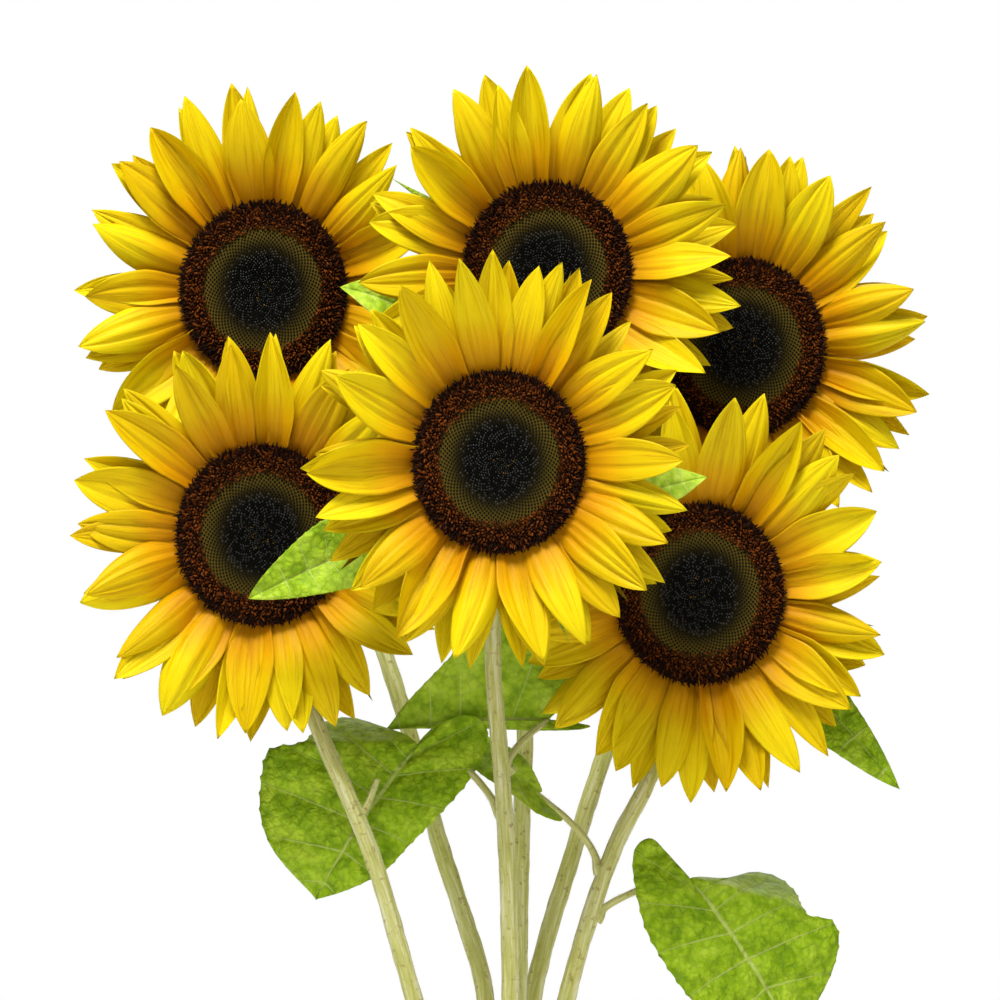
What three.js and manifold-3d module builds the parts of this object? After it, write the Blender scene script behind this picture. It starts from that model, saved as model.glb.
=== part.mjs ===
// A compact branching sunflower with six flower heads, rooted in level ground.
// Millimetres, +Z up, the heads face -Y.
// The origin is the middle of the flat cut under the main stem, at ground level.
import * as THREE from "three";
import { mergeVertices } from "three/addons/utils/BufferGeometryUtils.js";
import Module from "manifold-3d";

const wasm = await Module();
wasm.setup();

const UP = new THREE.Vector3(0, 0, 1);
const GAP = 0.3; // clearance kept between pieces that touch

// Main stem: root flare, waist and the crown where the flowering stems part.
const FLARE_RADIUS = 25;
const WAIST_RADIUS = 16.5;
const CROWN_RADIUS = 18;
const WAIST_HEIGHT = 22;
const CROWN_HEIGHT = 62;
const FORK_HEIGHT = 100; // each flowering stem starts here
const LOW_HEIGHT = 160; // the two heights at which a stem's place is stated
const MID_HEIGHT = 235;

// Flowering stems.
const STEM_RADIUS_FORK = 4.9;
const STEM_RADIUS_NECK = 3.9;
const STEM_RADIUS_SOCKET = 6.2;
const STEM_SIDES = 8;
const STEM_STEPS = 15;

// Flower heads, measured from the head's own plane, where the rays are set.
const HEAD_SQUEEZE = 0.94; // heads are a little narrower than tall
const DISC_RADIUS = 46;
const DISC_DOME = 11;
const DISC_BOSS_RADIUS = 34.2;
const RAY_RING_RADIUS = 35;
const RAY_RING_THICKNESS = 3.6;
const RAY_TIP_RADIUS = 105;
const RAY_VALLEY_RADIUS = 80;
const RAY_LIFT = 17; // how far the ray tips stand forward of the head's plane
const RAY_TIPS = 18;
const CUP_DEPTH = 26;
const CUP_SOCKET_RADIUS = 7;
const CUP_RIM_RADIUS = 38;
const BRACT_TIP_RADIUS = 66;
const BRACT_VALLEY_RADIUS = 45;
const BRACT_TIPS = 13;

// Leaves.
const BLADE_THICKNESS = 1.6;
const ARCH_SHARE = 0.08; // height of a blade's arch, as a share of its length
const BLADE_ROWS = 6;
const BLADE_COLUMNS = 4;
const PETIOLE_RADIUS_STEM = 2.1;
const PETIOLE_RADIUS_LEAF = 1.4;
const PETIOLE_SIDES = 6;
const PETIOLE_STEPS = 6;

const vec = (x, y, z) => new THREE.Vector3(x, y, z);

// A repeatable number from 0 to 1 for item n of a series.
const chance = (n, series) => {
  const s = Math.sin(n * 12.9898 + series * 78.233) * 43758.5453;
  return s - Math.floor(s);
};

// Each stem: where it leaves the main stem's crown, its place at the low and middle heights,
// a place high up, and its head's centre and the way that head faces.
const STEMS = {
  a: {
    foot: [-6, 9], low: [-9.5, 20], mid: [-32, 30], high: [-58, 50, 325],
    head: [-121.5, 62, 515.5], faces: [-0.08, -1, 0.05],
  },
  b: {
    foot: [3, 1], low: [6.5, 3], mid: [8, 5], high: [12, 12, 335],
    head: [21, 12, 524], faces: [0.03, -1, 0.08],
  },
  c: {
    foot: [8, 9], low: [14, 22], mid: [35, 34], high: [58, 50, 305],
    head: [119, 62, 487], faces: [0.1, -1, 0.03],
  },
  d: {
    foot: [1, -12], low: [2.5, -24], mid: [1.5, -33], high: [-6, -40, 334],
    head: [-3, -94, 428.5], faces: [0, -1, 0.04],
  },
  e: {
    foot: [-12, -4], low: [-45, -14], mid: [-67, -20], high: [-93, -17, 296],
    head: [-121, -24, 392.5], faces: [-0.06, -1, 0],
  },
  f: {
    foot: [13, -4], low: [30.5, -13], mid: [54, -14], high: [73, -10, 273],
    head: [96.5, -22, 363.5], faces: [0.06, -1, 0],
  },
};

// Each leaf: its stem and the height at which it leaves it, the foot and tip of its blade, the way the
// blade's upper side faces, the widths right and left of the midrib, seen from the foot with the upper
// side up, the angle in degrees by which each half is folded up from flat, and how far the edge of each
// half is swept back at the foot.
const LEAVES = {
  front_left: {
    stem: "d", from: 238, foot: [-43, -9, 288], tip: [-93, 8, 209],
    face: [-0.38, -0.92, 0.05], halves: [66, 36], fold: 3, swept: [-24, 26],
  },
  front_right: {
    stem: "f", from: 187, foot: [92, -12, 221], tip: [142, 4, 140],
    face: [0.38, -0.92, 0.05], halves: [36, 64], fold: 3, swept: [28, -34],
  },
  middle_upper: {
    stem: "d", from: 264, foot: [22, -8, 300], tip: [-60, 22, 292],
    face: [0.1, -0.7, 0.7], halves: [44, 22], fold: 36, swept: [20, 12],
  },
  middle_lower: {
    stem: "f", from: 212, foot: [14, -14, 265], tip: [-29, 16, 289],
    face: [0.1, -0.7, 0.7], halves: [15, 18], fold: 25, swept: [10, 10],
  },
  right_lower: {
    stem: "c", from: 335, foot: [126, 28, 341], tip: [197, 2, 265],
    face: [-0.1, -0.95, 0.2], halves: [24, 18], fold: 14, swept: [20, 20],
  },
  centre_left: {
    stem: "d", from: 362, foot: [-66, -63, 389], tip: [-127, -60, 361.5],
    face: [0.1, -0.97, 0.2], halves: [20, 20], fold: 20, swept: [12, 12],
  },
  centre_right: {
    stem: "d", from: 370, foot: [62, -63, 409], tip: [100, -58, 420],
    face: [-0.1, -0.9, 0.4], halves: [14, 14], fold: 20, swept: [8, 8],
  },
  upper_left: {
    stem: "b", from: 468, foot: [-48, 28, 504], tip: [-83, 28, 516],
    face: [0.1, -0.9, 0.4], halves: [14, 14], fold: 20, swept: [7, 7],
  },
  back_left: {
    stem: "a", from: 385, foot: [-112, 98, 400], tip: [-176, 140, 352],
    face: [-0.3, 0.4, 0.85], halves: [40, 40], fold: 14, swept: [18, 18],
  },
  back_left_upper: {
    stem: "a", from: 455, foot: [-138, 118, 466], tip: [-190, 138, 444],
    face: [-0.4, 0.4, 0.85], halves: [30, 30], fold: 14, swept: [12, 12],
  },
  back_middle: {
    stem: "b", from: 420, foot: [22, 74, 444], tip: [12, 148, 398],
    face: [0, 0.5, 0.85], halves: [42, 42], fold: 14, swept: [20, 20],
  },
  back_right: {
    stem: "c", from: 385, foot: [114, 100, 404], tip: [168, 142, 356],
    face: [0.3, 0.45, 0.85], halves: [40, 40], fold: 14, swept: [18, 18],
  },
  back_right_upper: {
    stem: "c", from: 440, foot: [140, 114, 456], tip: [192, 130, 440],
    face: [0.3, 0.4, 0.85], halves: [28, 28], fold: 14, swept: [12, 12],
  },
  back_low: {
    stem: "b", from: 325, foot: [-12, 46, 356], tip: [-66, 96, 345],
    face: [-0.2, 0.4, 0.9], halves: [34, 34], fold: 14, swept: [14, 14],
  },
};

// A petiole that has lost its blade.
const STUB = { stem: "e", from: 246, end: [-63.5, -18, 271] };

const finish = (hex, roughness) => new THREE.MeshStandardMaterial({ color: hex, roughness, metalness: 0 });
const STEM_GREEN = finish(0xb9b768, 0.65);
const BARK = finish(0xa9a45c, 0.75);
const RAY_YELLOW = finish(0xf4ce14, 0.5);
const DISC_BROWN = finish(0x3b220f, 0.8);
const BRACT_GREEN = finish(0x7f9420, 0.7);
const LEAF_GREEN = finish(0x7c9a18, 0.6);

function solidOf(geometry) {
  const bare = geometry.clone();
  bare.deleteAttribute("normal");
  bare.deleteAttribute("uv");
  const merged = mergeVertices(bare, 1e-4);
  return new wasm.Manifold(
    new wasm.Mesh({
      numProp: 3,
      vertProperties: new Float32Array(merged.attributes.position.array),
      triVerts: new Uint32Array(merged.index.array),
    }),
  );
}

function geometryOf(solid) {
  const mesh = solid.getMesh();
  const points = new Float32Array(mesh.numVert * 3);
  for (let i = 0; i < mesh.numVert; i++) {
    points.set(mesh.vertProperties.subarray(i * mesh.numProp, i * mesh.numProp + 3), i * 3);
  }
  const geometry = new THREE.BufferGeometry();
  geometry.setAttribute("position", new THREE.BufferAttribute(points, 3));
  geometry.setIndex(new THREE.BufferAttribute(new Uint32Array(mesh.triVerts), 1));
  geometry.computeVertexNormals();
  return geometry;
}

function named(name, geometry, material) {
  const mesh = new THREE.Mesh(geometry, material);
  mesh.name = name;
  return mesh;
}

// Moves every vertex of a geometry by a function of its place.
function reshape(geometry, place) {
  const at = geometry.attributes.position;
  const p = new THREE.Vector3();
  for (let i = 0; i < at.count; i++) {
    const q = place(p.fromBufferAttribute(at, i));
    at.setXYZ(i, q.x, q.y, q.z);
  }
  return geometry;
}

// A closed round limb along a curve: a cylinder whose rings are carried to the curve's own frames.
function limb(curve, radiusAt, sides, steps) {
  const frames = curve.computeFrenetFrames(steps);
  return reshape(new THREE.CylinderGeometry(1, 1, 1, sides, steps), (p) => {
    const step = Math.round((p.y + 0.5) * steps);
    const radius = radiusAt(step / steps);
    return curve
      .getPointAt(step / steps)
      .addScaledVector(frames.binormals[step], p.x * radius)
      .addScaledVector(frames.normals[step], p.z * radius);
  });
}

// A round solid turned about +Y from [radius, height] pairs.
const turned = (profile, segments) =>
  new THREE.LatheGeometry(profile.map(([r, y]) => new THREE.Vector2(r, y)), segments);

// A turned solid whose rim runs in and out between tips and valleys. Radii beyond `still` are stretched.
function scalloped(profile, { tips, still, tip, valley, series }) {
  const segments = 2 * tips;
  return reshape(turned(profile, segments), (p) => {
    const radius = Math.hypot(p.x, p.z);
    if (radius <= still + 1e-6) return p.clone();
    const turn = Math.atan2(p.x, p.z) / (2 * Math.PI);
    const spoke = (Math.round(turn * segments) + segments) % segments;
    const wobble = 0.93 + 0.07 * chance(spoke, series);
    const reach = (spoke % 2 ? valley : tip) * wobble;
    const share = (radius - still) / (tip - still);
    const grown = still + (reach - still) * share;
    return vec((p.x / radius) * grown, p.y, (p.z / radius) * grown);
  });
}

// ---- flowering stems ----

function headOf(stem) {
  const centre = vec(...stem.head);
  const facing = vec(...stem.faces).normalize();
  return { centre, facing, socket: centre.clone().addScaledVector(facing, -CUP_DEPTH) };
}

// From the crown up through the stated places, then over a bent neck into the back of the head.
function stemCurve(stem) {
  const { facing, socket } = headOf(stem);
  const [foot, low, mid] = [stem.foot, stem.low, stem.mid];
  const forkShare = 0.45;
  const fork = foot.map((v, i) => v + (low[i] - v) * forkShare);
  const middle = vec(...mid, MID_HEIGHT);
  const high = vec(...stem.high);
  const neckTop = socket.clone().addScaledVector(facing, -10).addScaledVector(UP, -5);
  const neckLow = socket.clone().addScaledVector(facing, -15).addScaledVector(UP, -28);
  const inside = socket.clone().addScaledVector(facing, 5);
  const rising = [vec(...foot, 30), vec(...fork, FORK_HEIGHT), vec(...low, LOW_HEIGHT), middle, high];
  return new THREE.CatmullRomCurve3([...rising, neckLow, neckTop, socket, inside], false, "centripetal");
}

function stemRadius(share) {
  const neckStart = 0.8;
  if (share < neckStart) return THREE.MathUtils.lerp(STEM_RADIUS_FORK, STEM_RADIUS_NECK, share / neckStart);
  const swell = THREE.MathUtils.smoothstep(share, neckStart, 0.985);
  return THREE.MathUtils.lerp(STEM_RADIUS_NECK, STEM_RADIUS_SOCKET, swell);
}

// The share of a curve's length at which it first reaches a height.
function shareAtHeight(curve, height) {
  const tries = 400;
  for (let i = 0; i <= tries; i++) {
    if (curve.getPointAt(i / tries).z >= height) return i / tries;
  }
  return 1;
}

const curves = Object.fromEntries(Object.entries(STEMS).map(([key, stem]) => [key, stemCurve(stem)]));
const wholeLimb = (key, extra = 0) =>
  solidOf(limb(curves[key], (share) => stemRadius(share) + extra, STEM_SIDES, STEM_STEPS));

// The plane across a stem at the fork, moved up the stem by `offset`.
function forkPlane(key, offset) {
  const share = shareAtHeight(curves[key], FORK_HEIGHT);
  const normal = curves[key].getTangentAt(share);
  return [normal, normal.dot(curves[key].getPointAt(share)) + offset];
}

// The room taken by the back of a head, which the stem's top is cut flat against.
function headRoom(key) {
  const { facing, socket } = headOf(STEMS[key]);
  const room = new THREE.CylinderGeometry(4 * CUP_SOCKET_RADIUS, 4 * CUP_SOCKET_RADIUS, 30, 12);
  room.translate(0, 15 - GAP, 0);
  room.applyQuaternion(new THREE.Quaternion().setFromUnitVectors(vec(0, 1, 0), facing));
  return solidOf(room.translate(...socket));
}

function stemSolid(key) {
  const [normal, at] = forkPlane(key, GAP);
  return wholeLimb(key).trimByPlane(normal.toArray(), at).subtract(headRoom(key));
}

function mainStemSolid() {
  const profile = [
    [0, 0],
    [FLARE_RADIUS, 0],
    [FLARE_RADIUS - 2.5, 4],
    [WAIST_RADIUS + 1.5, 12],
    [WAIST_RADIUS, WAIST_HEIGHT],
    [CROWN_RADIUS, CROWN_HEIGHT],
    [CROWN_RADIUS - 6, CROWN_HEIGHT + 12],
    [0, CROWN_HEIGHT + 15],
  ];
  const lobes = 5;
  const body = turned(profile, 20).rotateX(Math.PI / 2);
  reshape(body, (p) => {
    const flare = 1 - THREE.MathUtils.smoothstep(p.z, 0, WAIST_HEIGHT);
    const swell = 1 + 0.12 * flare * Math.cos(lobes * Math.atan2(p.y, p.x));
    return vec(p.x * swell, p.y * swell, p.z);
  });
  return Object.keys(STEMS).reduce((whole, key) => {
    const [normal, at] = forkPlane(key, 0);
    return whole.add(wholeLimb(key).trimByPlane(normal.clone().negate().toArray(), -at));
  }, solidOf(body));
}

// ---- flower heads, made round +Y, which is then turned to face the viewer ----

function discGeometry() {
  const seat = RAY_RING_THICKNESS / 2 + GAP;
  const profile = [
    [0, -RAY_RING_THICKNESS / 2],
    [DISC_BOSS_RADIUS, -RAY_RING_THICKNESS / 2],
    [DISC_BOSS_RADIUS, seat],
    [DISC_RADIUS, seat + 3.4],
    [DISC_RADIUS - 3, DISC_DOME - 2],
    [DISC_RADIUS * 0.66, DISC_DOME],
    [0, DISC_DOME - 1.5],
  ];
  return turned(profile, 24);
}

function rayGeometry(series) {
  const half = RAY_RING_THICKNESS / 2;
  const middle = (RAY_RING_RADIUS + RAY_TIP_RADIUS) / 2;
  const profile = [
    [RAY_RING_RADIUS, -half],
    [middle, RAY_LIFT * 0.3 - half],
    [RAY_TIP_RADIUS, RAY_LIFT],
    [middle, RAY_LIFT * 0.3 + half],
    [RAY_RING_RADIUS, half],
    [RAY_RING_RADIUS, -half],
  ];
  const [still, tip, valley] = [RAY_RING_RADIUS, RAY_TIP_RADIUS, RAY_VALLEY_RADIUS];
  return scalloped(profile, { tips: RAY_TIPS, still, tip, valley, series });
}

function cupGeometry(series) {
  const front = -RAY_RING_THICKNESS / 2 - GAP;
  const profile = [
    [0, -CUP_DEPTH],
    [CUP_SOCKET_RADIUS, -CUP_DEPTH],
    [22, -CUP_DEPTH + 8],
    [CUP_RIM_RADIUS, -CUP_DEPTH + 18],
    [BRACT_TIP_RADIUS, front + 0.6],
    [RAY_RING_RADIUS, front],
    [0, front],
  ];
  const [still, tip, valley] = [CUP_RIM_RADIUS, BRACT_TIP_RADIUS, BRACT_VALLEY_RADIUS];
  return scalloped(profile, { tips: BRACT_TIPS, still, tip, valley, series });
}

function flowerHead(key, series) {
  const { centre, facing } = headOf(STEMS[key]);
  const across = facing.clone().cross(UP).normalize();
  const turn = new THREE.Matrix4().makeBasis(across, facing, across.clone().cross(facing));
  const head = new THREE.Group();
  head.position.copy(centre);
  head.quaternion.setFromRotationMatrix(turn);
  head.scale.set(HEAD_SQUEEZE, 1, 1);
  head.add(
    named(`disc_${key}`, discGeometry(), DISC_BROWN),
    named(`rays_${key}`, rayGeometry(series), RAY_YELLOW),
    named(`bracts_${key}`, cupGeometry(series + 40), BRACT_GREEN),
  );
  return head;
}

// ---- leaves ----

// Leaves the stem steeply and arches over to the foot of the blade.
function petioleCurve(stemKey, height, end) {
  const curve = curves[stemKey];
  const share = shareAtHeight(curve, height);
  const start = curve.getPointAt(share);
  const span = start.distanceTo(end);
  const rise = start.clone().addScaledVector(curve.getTangentAt(share), span * 0.42);
  const reach = end.clone().lerp(start, 0.35).addScaledVector(UP, span * 0.14);
  return new THREE.CubicBezierCurve3(start, rise, reach, end);
}

function petioleSolid(stemKey, curve, extra = 0) {
  const radiusAt = (share) => THREE.MathUtils.lerp(PETIOLE_RADIUS_STEM, PETIOLE_RADIUS_LEAF, share) + extra;
  return solidOf(limb(curve, radiusAt, PETIOLE_SIDES, PETIOLE_STEPS)).subtract(wholeLimb(stemKey, GAP));
}

// The share of a leaf's half width at a share of its length: broad near the foot, drawn out at the tip.
function outline(share) {
  const shoulder = Math.sin(Math.PI * (0.08 + 0.92 * share) ** 0.68);
  return Math.max(0.03, shoulder * (1.05 - 0.2 * share));
}

// A thin blade of a leaf's own outline, arched and folded along its midrib,
// with lobes swept back at the foot.
function bladeSolid(leaf) {
  const foot = vec(...leaf.foot);
  const chord = vec(...leaf.tip).sub(foot);
  const length = chord.length();
  const along = chord.clone().normalize();
  const right = along.clone().cross(vec(...leaf.face)).normalize();
  const normal = right.clone().cross(along).normalize();
  const fold = THREE.MathUtils.degToRad(leaf.fold);
  const blade = new THREE.BoxGeometry(2, 1, 1, BLADE_COLUMNS, BLADE_ROWS, 1);
  return solidOf(
    reshape(blade, (p) => {
      const share = p.y + 0.5;
      const side = Math.abs(p.x);
      const half = p.x < 0 ? 1 : 0;
      const reach = side * leaf.halves[half] * outline(share);
      const back = leaf.swept[half] * side ** 1.5 * (1 - share) ** 2;
      const lift = 4 * ARCH_SHARE * length * share * (1 - share) + reach * Math.sin(fold);
      return foot
        .clone()
        .addScaledVector(along, GAP + length * share - back)
        .addScaledVector(right, Math.sign(p.x) * reach * Math.cos(fold))
        .addScaledVector(normal, lift + p.z * BLADE_THICKNESS);
    }),
  );
}

function leafMeshes(name, leaf) {
  const curve = petioleCurve(leaf.stem, leaf.from, vec(...leaf.foot));
  const cut = petioleSolid(leaf.stem, curve, GAP);
  return [
    named(`petiole_${name}`, geometryOf(petioleSolid(leaf.stem, curve)), STEM_GREEN),
    named(`leaf_${name}`, geometryOf(bladeSolid(leaf).subtract(cut)), LEAF_GREEN),
  ];
}

// ---- the plant ----

const plant = new THREE.Group();
plant.add(named("main_stem", geometryOf(mainStemSolid()), BARK));
Object.keys(STEMS).forEach((key, index) => {
  plant.add(named(`stem_${key}`, geometryOf(stemSolid(key)), STEM_GREEN));
  plant.add(flowerHead(key, index + 1));
});
for (const [name, leaf] of Object.entries(LEAVES)) plant.add(...leafMeshes(name, leaf));
const stubCurve = petioleCurve(STUB.stem, STUB.from, vec(...STUB.end));
plant.add(named("petiole_stub", geometryOf(petioleSolid(STUB.stem, stubCurve)), STEM_GREEN));

export default plant;
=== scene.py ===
"""The looks of a branching sunflower: petals, seed discs, bracts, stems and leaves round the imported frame.

Every place comes from the frame: a head's middle and facing from its disc, a stem's path from its limb,
a leaf's foot, tip and spread from its blade. Sizes are millimetres in the names' own fields and are turned to
metres once, by MM.
"""

import logging
import math
from dataclasses import dataclass, field
from enum import Enum

import bpy
import numpy as np
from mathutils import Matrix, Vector


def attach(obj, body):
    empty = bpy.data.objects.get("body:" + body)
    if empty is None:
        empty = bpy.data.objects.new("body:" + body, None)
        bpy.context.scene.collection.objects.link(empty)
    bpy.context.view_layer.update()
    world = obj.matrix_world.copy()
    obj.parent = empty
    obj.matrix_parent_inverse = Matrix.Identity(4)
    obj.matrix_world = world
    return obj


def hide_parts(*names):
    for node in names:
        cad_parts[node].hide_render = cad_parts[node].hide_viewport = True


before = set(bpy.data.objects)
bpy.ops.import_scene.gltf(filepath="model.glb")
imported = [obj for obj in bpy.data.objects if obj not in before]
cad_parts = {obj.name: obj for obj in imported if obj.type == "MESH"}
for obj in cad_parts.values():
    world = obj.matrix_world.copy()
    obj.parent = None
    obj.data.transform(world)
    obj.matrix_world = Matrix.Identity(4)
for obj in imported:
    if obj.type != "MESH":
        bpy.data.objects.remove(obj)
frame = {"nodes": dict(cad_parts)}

MM = 0.001
GOLDEN_ANGLE = math.pi * (3 - math.sqrt(5))
FULL_TURN = 2 * math.pi
CLOSE_PACKING = 0.866  # area that each bud of a close-set field takes, in squares of the spacing
SPIRAL_SCALE = 0.525  # radius of a golden spiral's first floret, in spacings
STREAK_MM = 60.0  # length of stem that its tags count as one
DISC_BACK_MM = 1.8  # how far a disc's back lies behind the plane between petals and bracts
STALK_END_MM = 3.4  # how wide the free end of a leaf stalk is
FOLD_RADIUS_MM = 1.4  # how round the edge is where a blade turns back
log = logging.getLogger("sunflower")

Array = np.ndarray
Socket = bpy.types.NodeSocket
Tree = bpy.types.NodeTree


# ---------------------------------------------------------------- numbers and vectors


def unit(vectors: Array) -> Array:
    """Scales vectors to length one along their last axis.

    Args:
        vectors: any array whose last axis holds x, y, z.

    Returns:
        The same vectors, each of length one.
    """
    return vectors / np.maximum(np.linalg.norm(vectors, axis=-1, keepdims=True), 1e-12)


def ease(low: float, high: float, value: Array) -> Array:
    """Rises smoothly from 0 at low to 1 at high, as 3t² - 2t³.

    Args:
        low: where the rise starts.
        high: where it ends.
        value: the numbers to map.

    Returns:
        The mapped numbers.
    """
    t = np.clip((value - low) / (high - low), 0, 1)
    return t * t * (3 - 2 * t)


def stacked(*parts: Array | float) -> Array:
    """Stacks values of matching shapes on a new last axis."""
    return np.stack(np.broadcast_arrays(*parts), -1)


def circle(sides: int) -> Array:
    """Angles of evenly spaced points round a circle, (sides,)."""
    return np.arange(sides) / sides * FULL_TURN


def run_along(path: Array) -> Array:
    """Length of a path up to each of its points, (n,)."""
    return np.concatenate([[0], np.cumsum(np.linalg.norm(np.diff(path, axis=0), axis=1))])


def smooth_path(points: Array, count: int) -> Array:
    """Resamples a path as a smooth curve through its points, evenly spaced along its length.

    Each stretch is the Catmull-Rom cubic through its two ends, with its neighbours setting the slopes.

    Args:
        points: the path's points, (n, k).
        count: how many points to return.

    Returns:
        The new points, (count, k).
    """
    p = np.vstack([2 * points[0] - points[1], points, 2 * points[-1] - points[-2]])
    t = np.linspace(0, len(points) - 1, 40 * len(points))
    i = np.minimum(t.astype(int), len(points) - 2)
    f = (t - i)[:, None]
    a, b, c, d = p[i], p[i + 1], p[i + 2], p[i + 3]
    fine = 0.5 * (2 * b + (c - a) * f + (2 * a - 5 * b + 4 * c - d) * f**2 + (3 * b - a - 3 * c + d) * f**3)
    run = run_along(fine)
    even = np.linspace(0, run[-1], count)
    return np.stack([np.interp(even, run, fine[:, k]) for k in range(points.shape[1])], axis=1)


def carried_frames(path: Array) -> tuple[Array, Array, Array]:
    """Tangents and two cross directions along a path, without twist.

    Each cross direction is the one before it, made square to the new tangent, so the loop runs over the
    path's few points in order.

    Args:
        path: the path's points, (n, 3).

    Returns:
        Tangents, sides and normals, each (n, 3), with side x normal = tangent.
    """
    tangent = unit(np.gradient(path, axis=0))
    side = np.empty_like(path)
    start = np.cross(tangent[0], [0.0, 1.0, 0.0])
    side[0] = unit(start if np.linalg.norm(start) > 0.1 else np.cross(tangent[0], [1.0, 0.0, 0.0]))
    for k in range(1, len(path)):
        side[k] = unit(side[k - 1] - tangent[k] * np.dot(side[k - 1], tangent[k]))
    return tangent, side, np.cross(tangent, side)


def turned(local: Array, angle: Array) -> Array:
    """Turns shapes that point along +x, lying face up, to stand at angles round the z axis.

    Args:
        local: (copies, ..., 3) outward, to the shape's right, and up.
        angle: (copies,) radians, anticlockwise.

    Returns:
        The turned points, the same shape.
    """
    spread = (len(angle),) + (1,) * (local.ndim - 2)
    c, s = np.cos(angle).reshape(spread), np.sin(angle).reshape(spread)
    out, right, up = local[..., 0], local[..., 1], local[..., 2]
    return np.stack([out * c + right * s, out * s - right * c, up], -1)


# ---------------------------------------------------------------- meshes


def grid_faces(rows: int, columns: int, joined: bool = False) -> Array:
    """Four-sided faces of a grid of points, row after row.

    Args:
        rows: how many rows of points.
        columns: how many points in each row.
        joined: whether the last column joins the first, as on a tube.

    Returns:
        Point numbers, (faces, 4).
    """
    across = np.arange(columns if joined else columns - 1)
    r, c = np.meshgrid(np.arange(rows - 1), across, indexing="ij")
    n = (c + 1) % columns
    low, high = r * columns, (r + 1) * columns
    return np.stack([low + c, low + n, high + n, high + c], -1).reshape(-1, 4)


def closed_tube(rings: Array) -> tuple[Array, list[Array]]:
    """Joins rings of points to a tube, with a point at the middle of each end that closes it.

    The rings run anticlockwise as seen from where they lead to, so that the faces point out.

    Args:
        rings: (copies, rows, sides, 3).

    Returns:
        (copies, rows * sides + 2, 3) points and the faces of one copy.
    """
    copies, rows, sides = rings.shape[:3]
    ends = rings[:, [0, -1]].mean(axis=2)
    points = np.concatenate([rings.reshape(copies, -1, 3), ends], axis=1)
    c = np.arange(sides)
    n = (c + 1) % sides
    foot = np.stack([n, c, np.full(sides, rows * sides)], -1)
    last = (rows - 1) * sides
    tip = np.stack([last + c, last + n, np.full(sides, rows * sides + 1)], -1)
    return points, [grid_faces(rows, sides, joined=True), foot, tip]


def add_object(name: str, data: bpy.types.ID) -> bpy.types.Object:
    """Puts an object in the scene.

    Args:
        name: its name.
        data: its mesh, light or camera.

    Returns:
        The new object, at the origin.
    """
    made = bpy.data.objects.new(name, data)
    bpy.context.collection.objects.link(made)
    return made


def write_tags(mesh: bpy.types.Mesh, tags: Array) -> None:
    """Stores the (points, 4) values that the materials read."""
    tag = mesh.attributes.new("tag", "FLOAT_COLOR", "POINT")
    tag.data.foreach_set("color", tags.astype(np.float32).ravel())


@dataclass
class MeshStock:
    """Gathers points and faces of many small shapes, then makes one mesh of them."""

    points: list[Array] = field(default_factory=list)
    tags: list[Array] = field(default_factory=list)
    faces: list[Array] = field(default_factory=list)
    corners: list[Array] = field(default_factory=list)
    slots: list[Array] = field(default_factory=list)
    total: int = 0

    def add(self, points: Array, faces: list[Array], slots: list | None = None, tags: Array | None = None,
            corners: Array | None = None) -> None:
        """Adds copies of one shape.

        Args:
            points: (copies, n, 3), in metres.
            faces: lists of three- or four-sided faces of one copy, as point numbers.
            slots: the material slot for each list of faces: a number, (copies, 1) or (copies, faces).
            tags: (copies, n, 4) values that the materials read, or none.
            corners: (copies, faces, corners of a face, 2) places on the piece's map, for one list of faces.
        """
        copies, n = points.shape[:2]
        offsets = self.total + np.arange(copies)[:, None, None] * n
        self.points.append(points.reshape(-1, 3))
        tags = np.zeros((1, 1, 4)) if tags is None else tags
        self.tags.append(np.broadcast_to(tags, (copies, n, 4)).reshape(-1, 4))
        for number, some in enumerate(faces):
            slot = slots[number] if slots else 0
            self.faces.append((some[None] + offsets).reshape(-1, some.shape[-1]))
            self.slots.append(np.broadcast_to(slot, (copies, len(some))).reshape(-1))
        if corners is not None:
            self.corners.append(corners.reshape(-1, 2))
        self.total += copies * n

    def build(self, name: str, *looks: "Look") -> bpy.types.Object:
        """Makes the object, smooth shaded, with its tags and its map.

        Args:
            name: the piece's name.
            looks: its finishes, in slot order.

        Returns:
            The new object, at the origin.
        """
        mesh = bpy.data.meshes.new(name)
        sizes = np.concatenate([np.full(len(f), f.shape[1]) for f in self.faces])
        loops = np.concatenate([f.ravel() for f in self.faces])
        mesh.vertices.add(self.total)
        mesh.loops.add(len(loops))
        mesh.polygons.add(len(sizes))
        starts = np.concatenate([[0], np.cumsum(sizes)[:-1]])
        mesh.vertices.foreach_set("co", np.concatenate(self.points).astype(np.float32).ravel())
        mesh.loops.foreach_set("vertex_index", loops.astype(np.int32))
        mesh.polygons.foreach_set("loop_start", starts.astype(np.int32))
        mesh.polygons.foreach_set("loop_total", sizes.astype(np.int32))
        mesh.polygons.foreach_set("material_index", np.concatenate(self.slots).astype(np.int32))
        mesh.polygons.foreach_set("use_smooth", np.ones(len(sizes), bool))
        write_tags(mesh, np.concatenate(self.tags))
        if self.corners:
            layer = mesh.uv_layers.new(name="OFBake")
            layer.data.foreach_set("uv", np.concatenate(self.corners).astype(np.float32).ravel())
        mesh.update(calc_edges=True)
        mesh.validate()
        for look in looks:
            mesh.materials.append(look.material)
        return add_object(name, mesh)


def place_piece(piece: bpy.types.Object, slot: str, *nodes: str) -> None:
    """Fixes a finished piece to the plant and hides the frame's nodes that it replaces.

    Args:
        piece: the finished object.
        slot: not used.
        nodes: the frame's nodes that it replaces.
    """
    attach(piece, "root")
    if nodes:
        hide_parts(*nodes)
    log.info("%s: %d faces", piece.name, len(piece.data.polygons))


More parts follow.
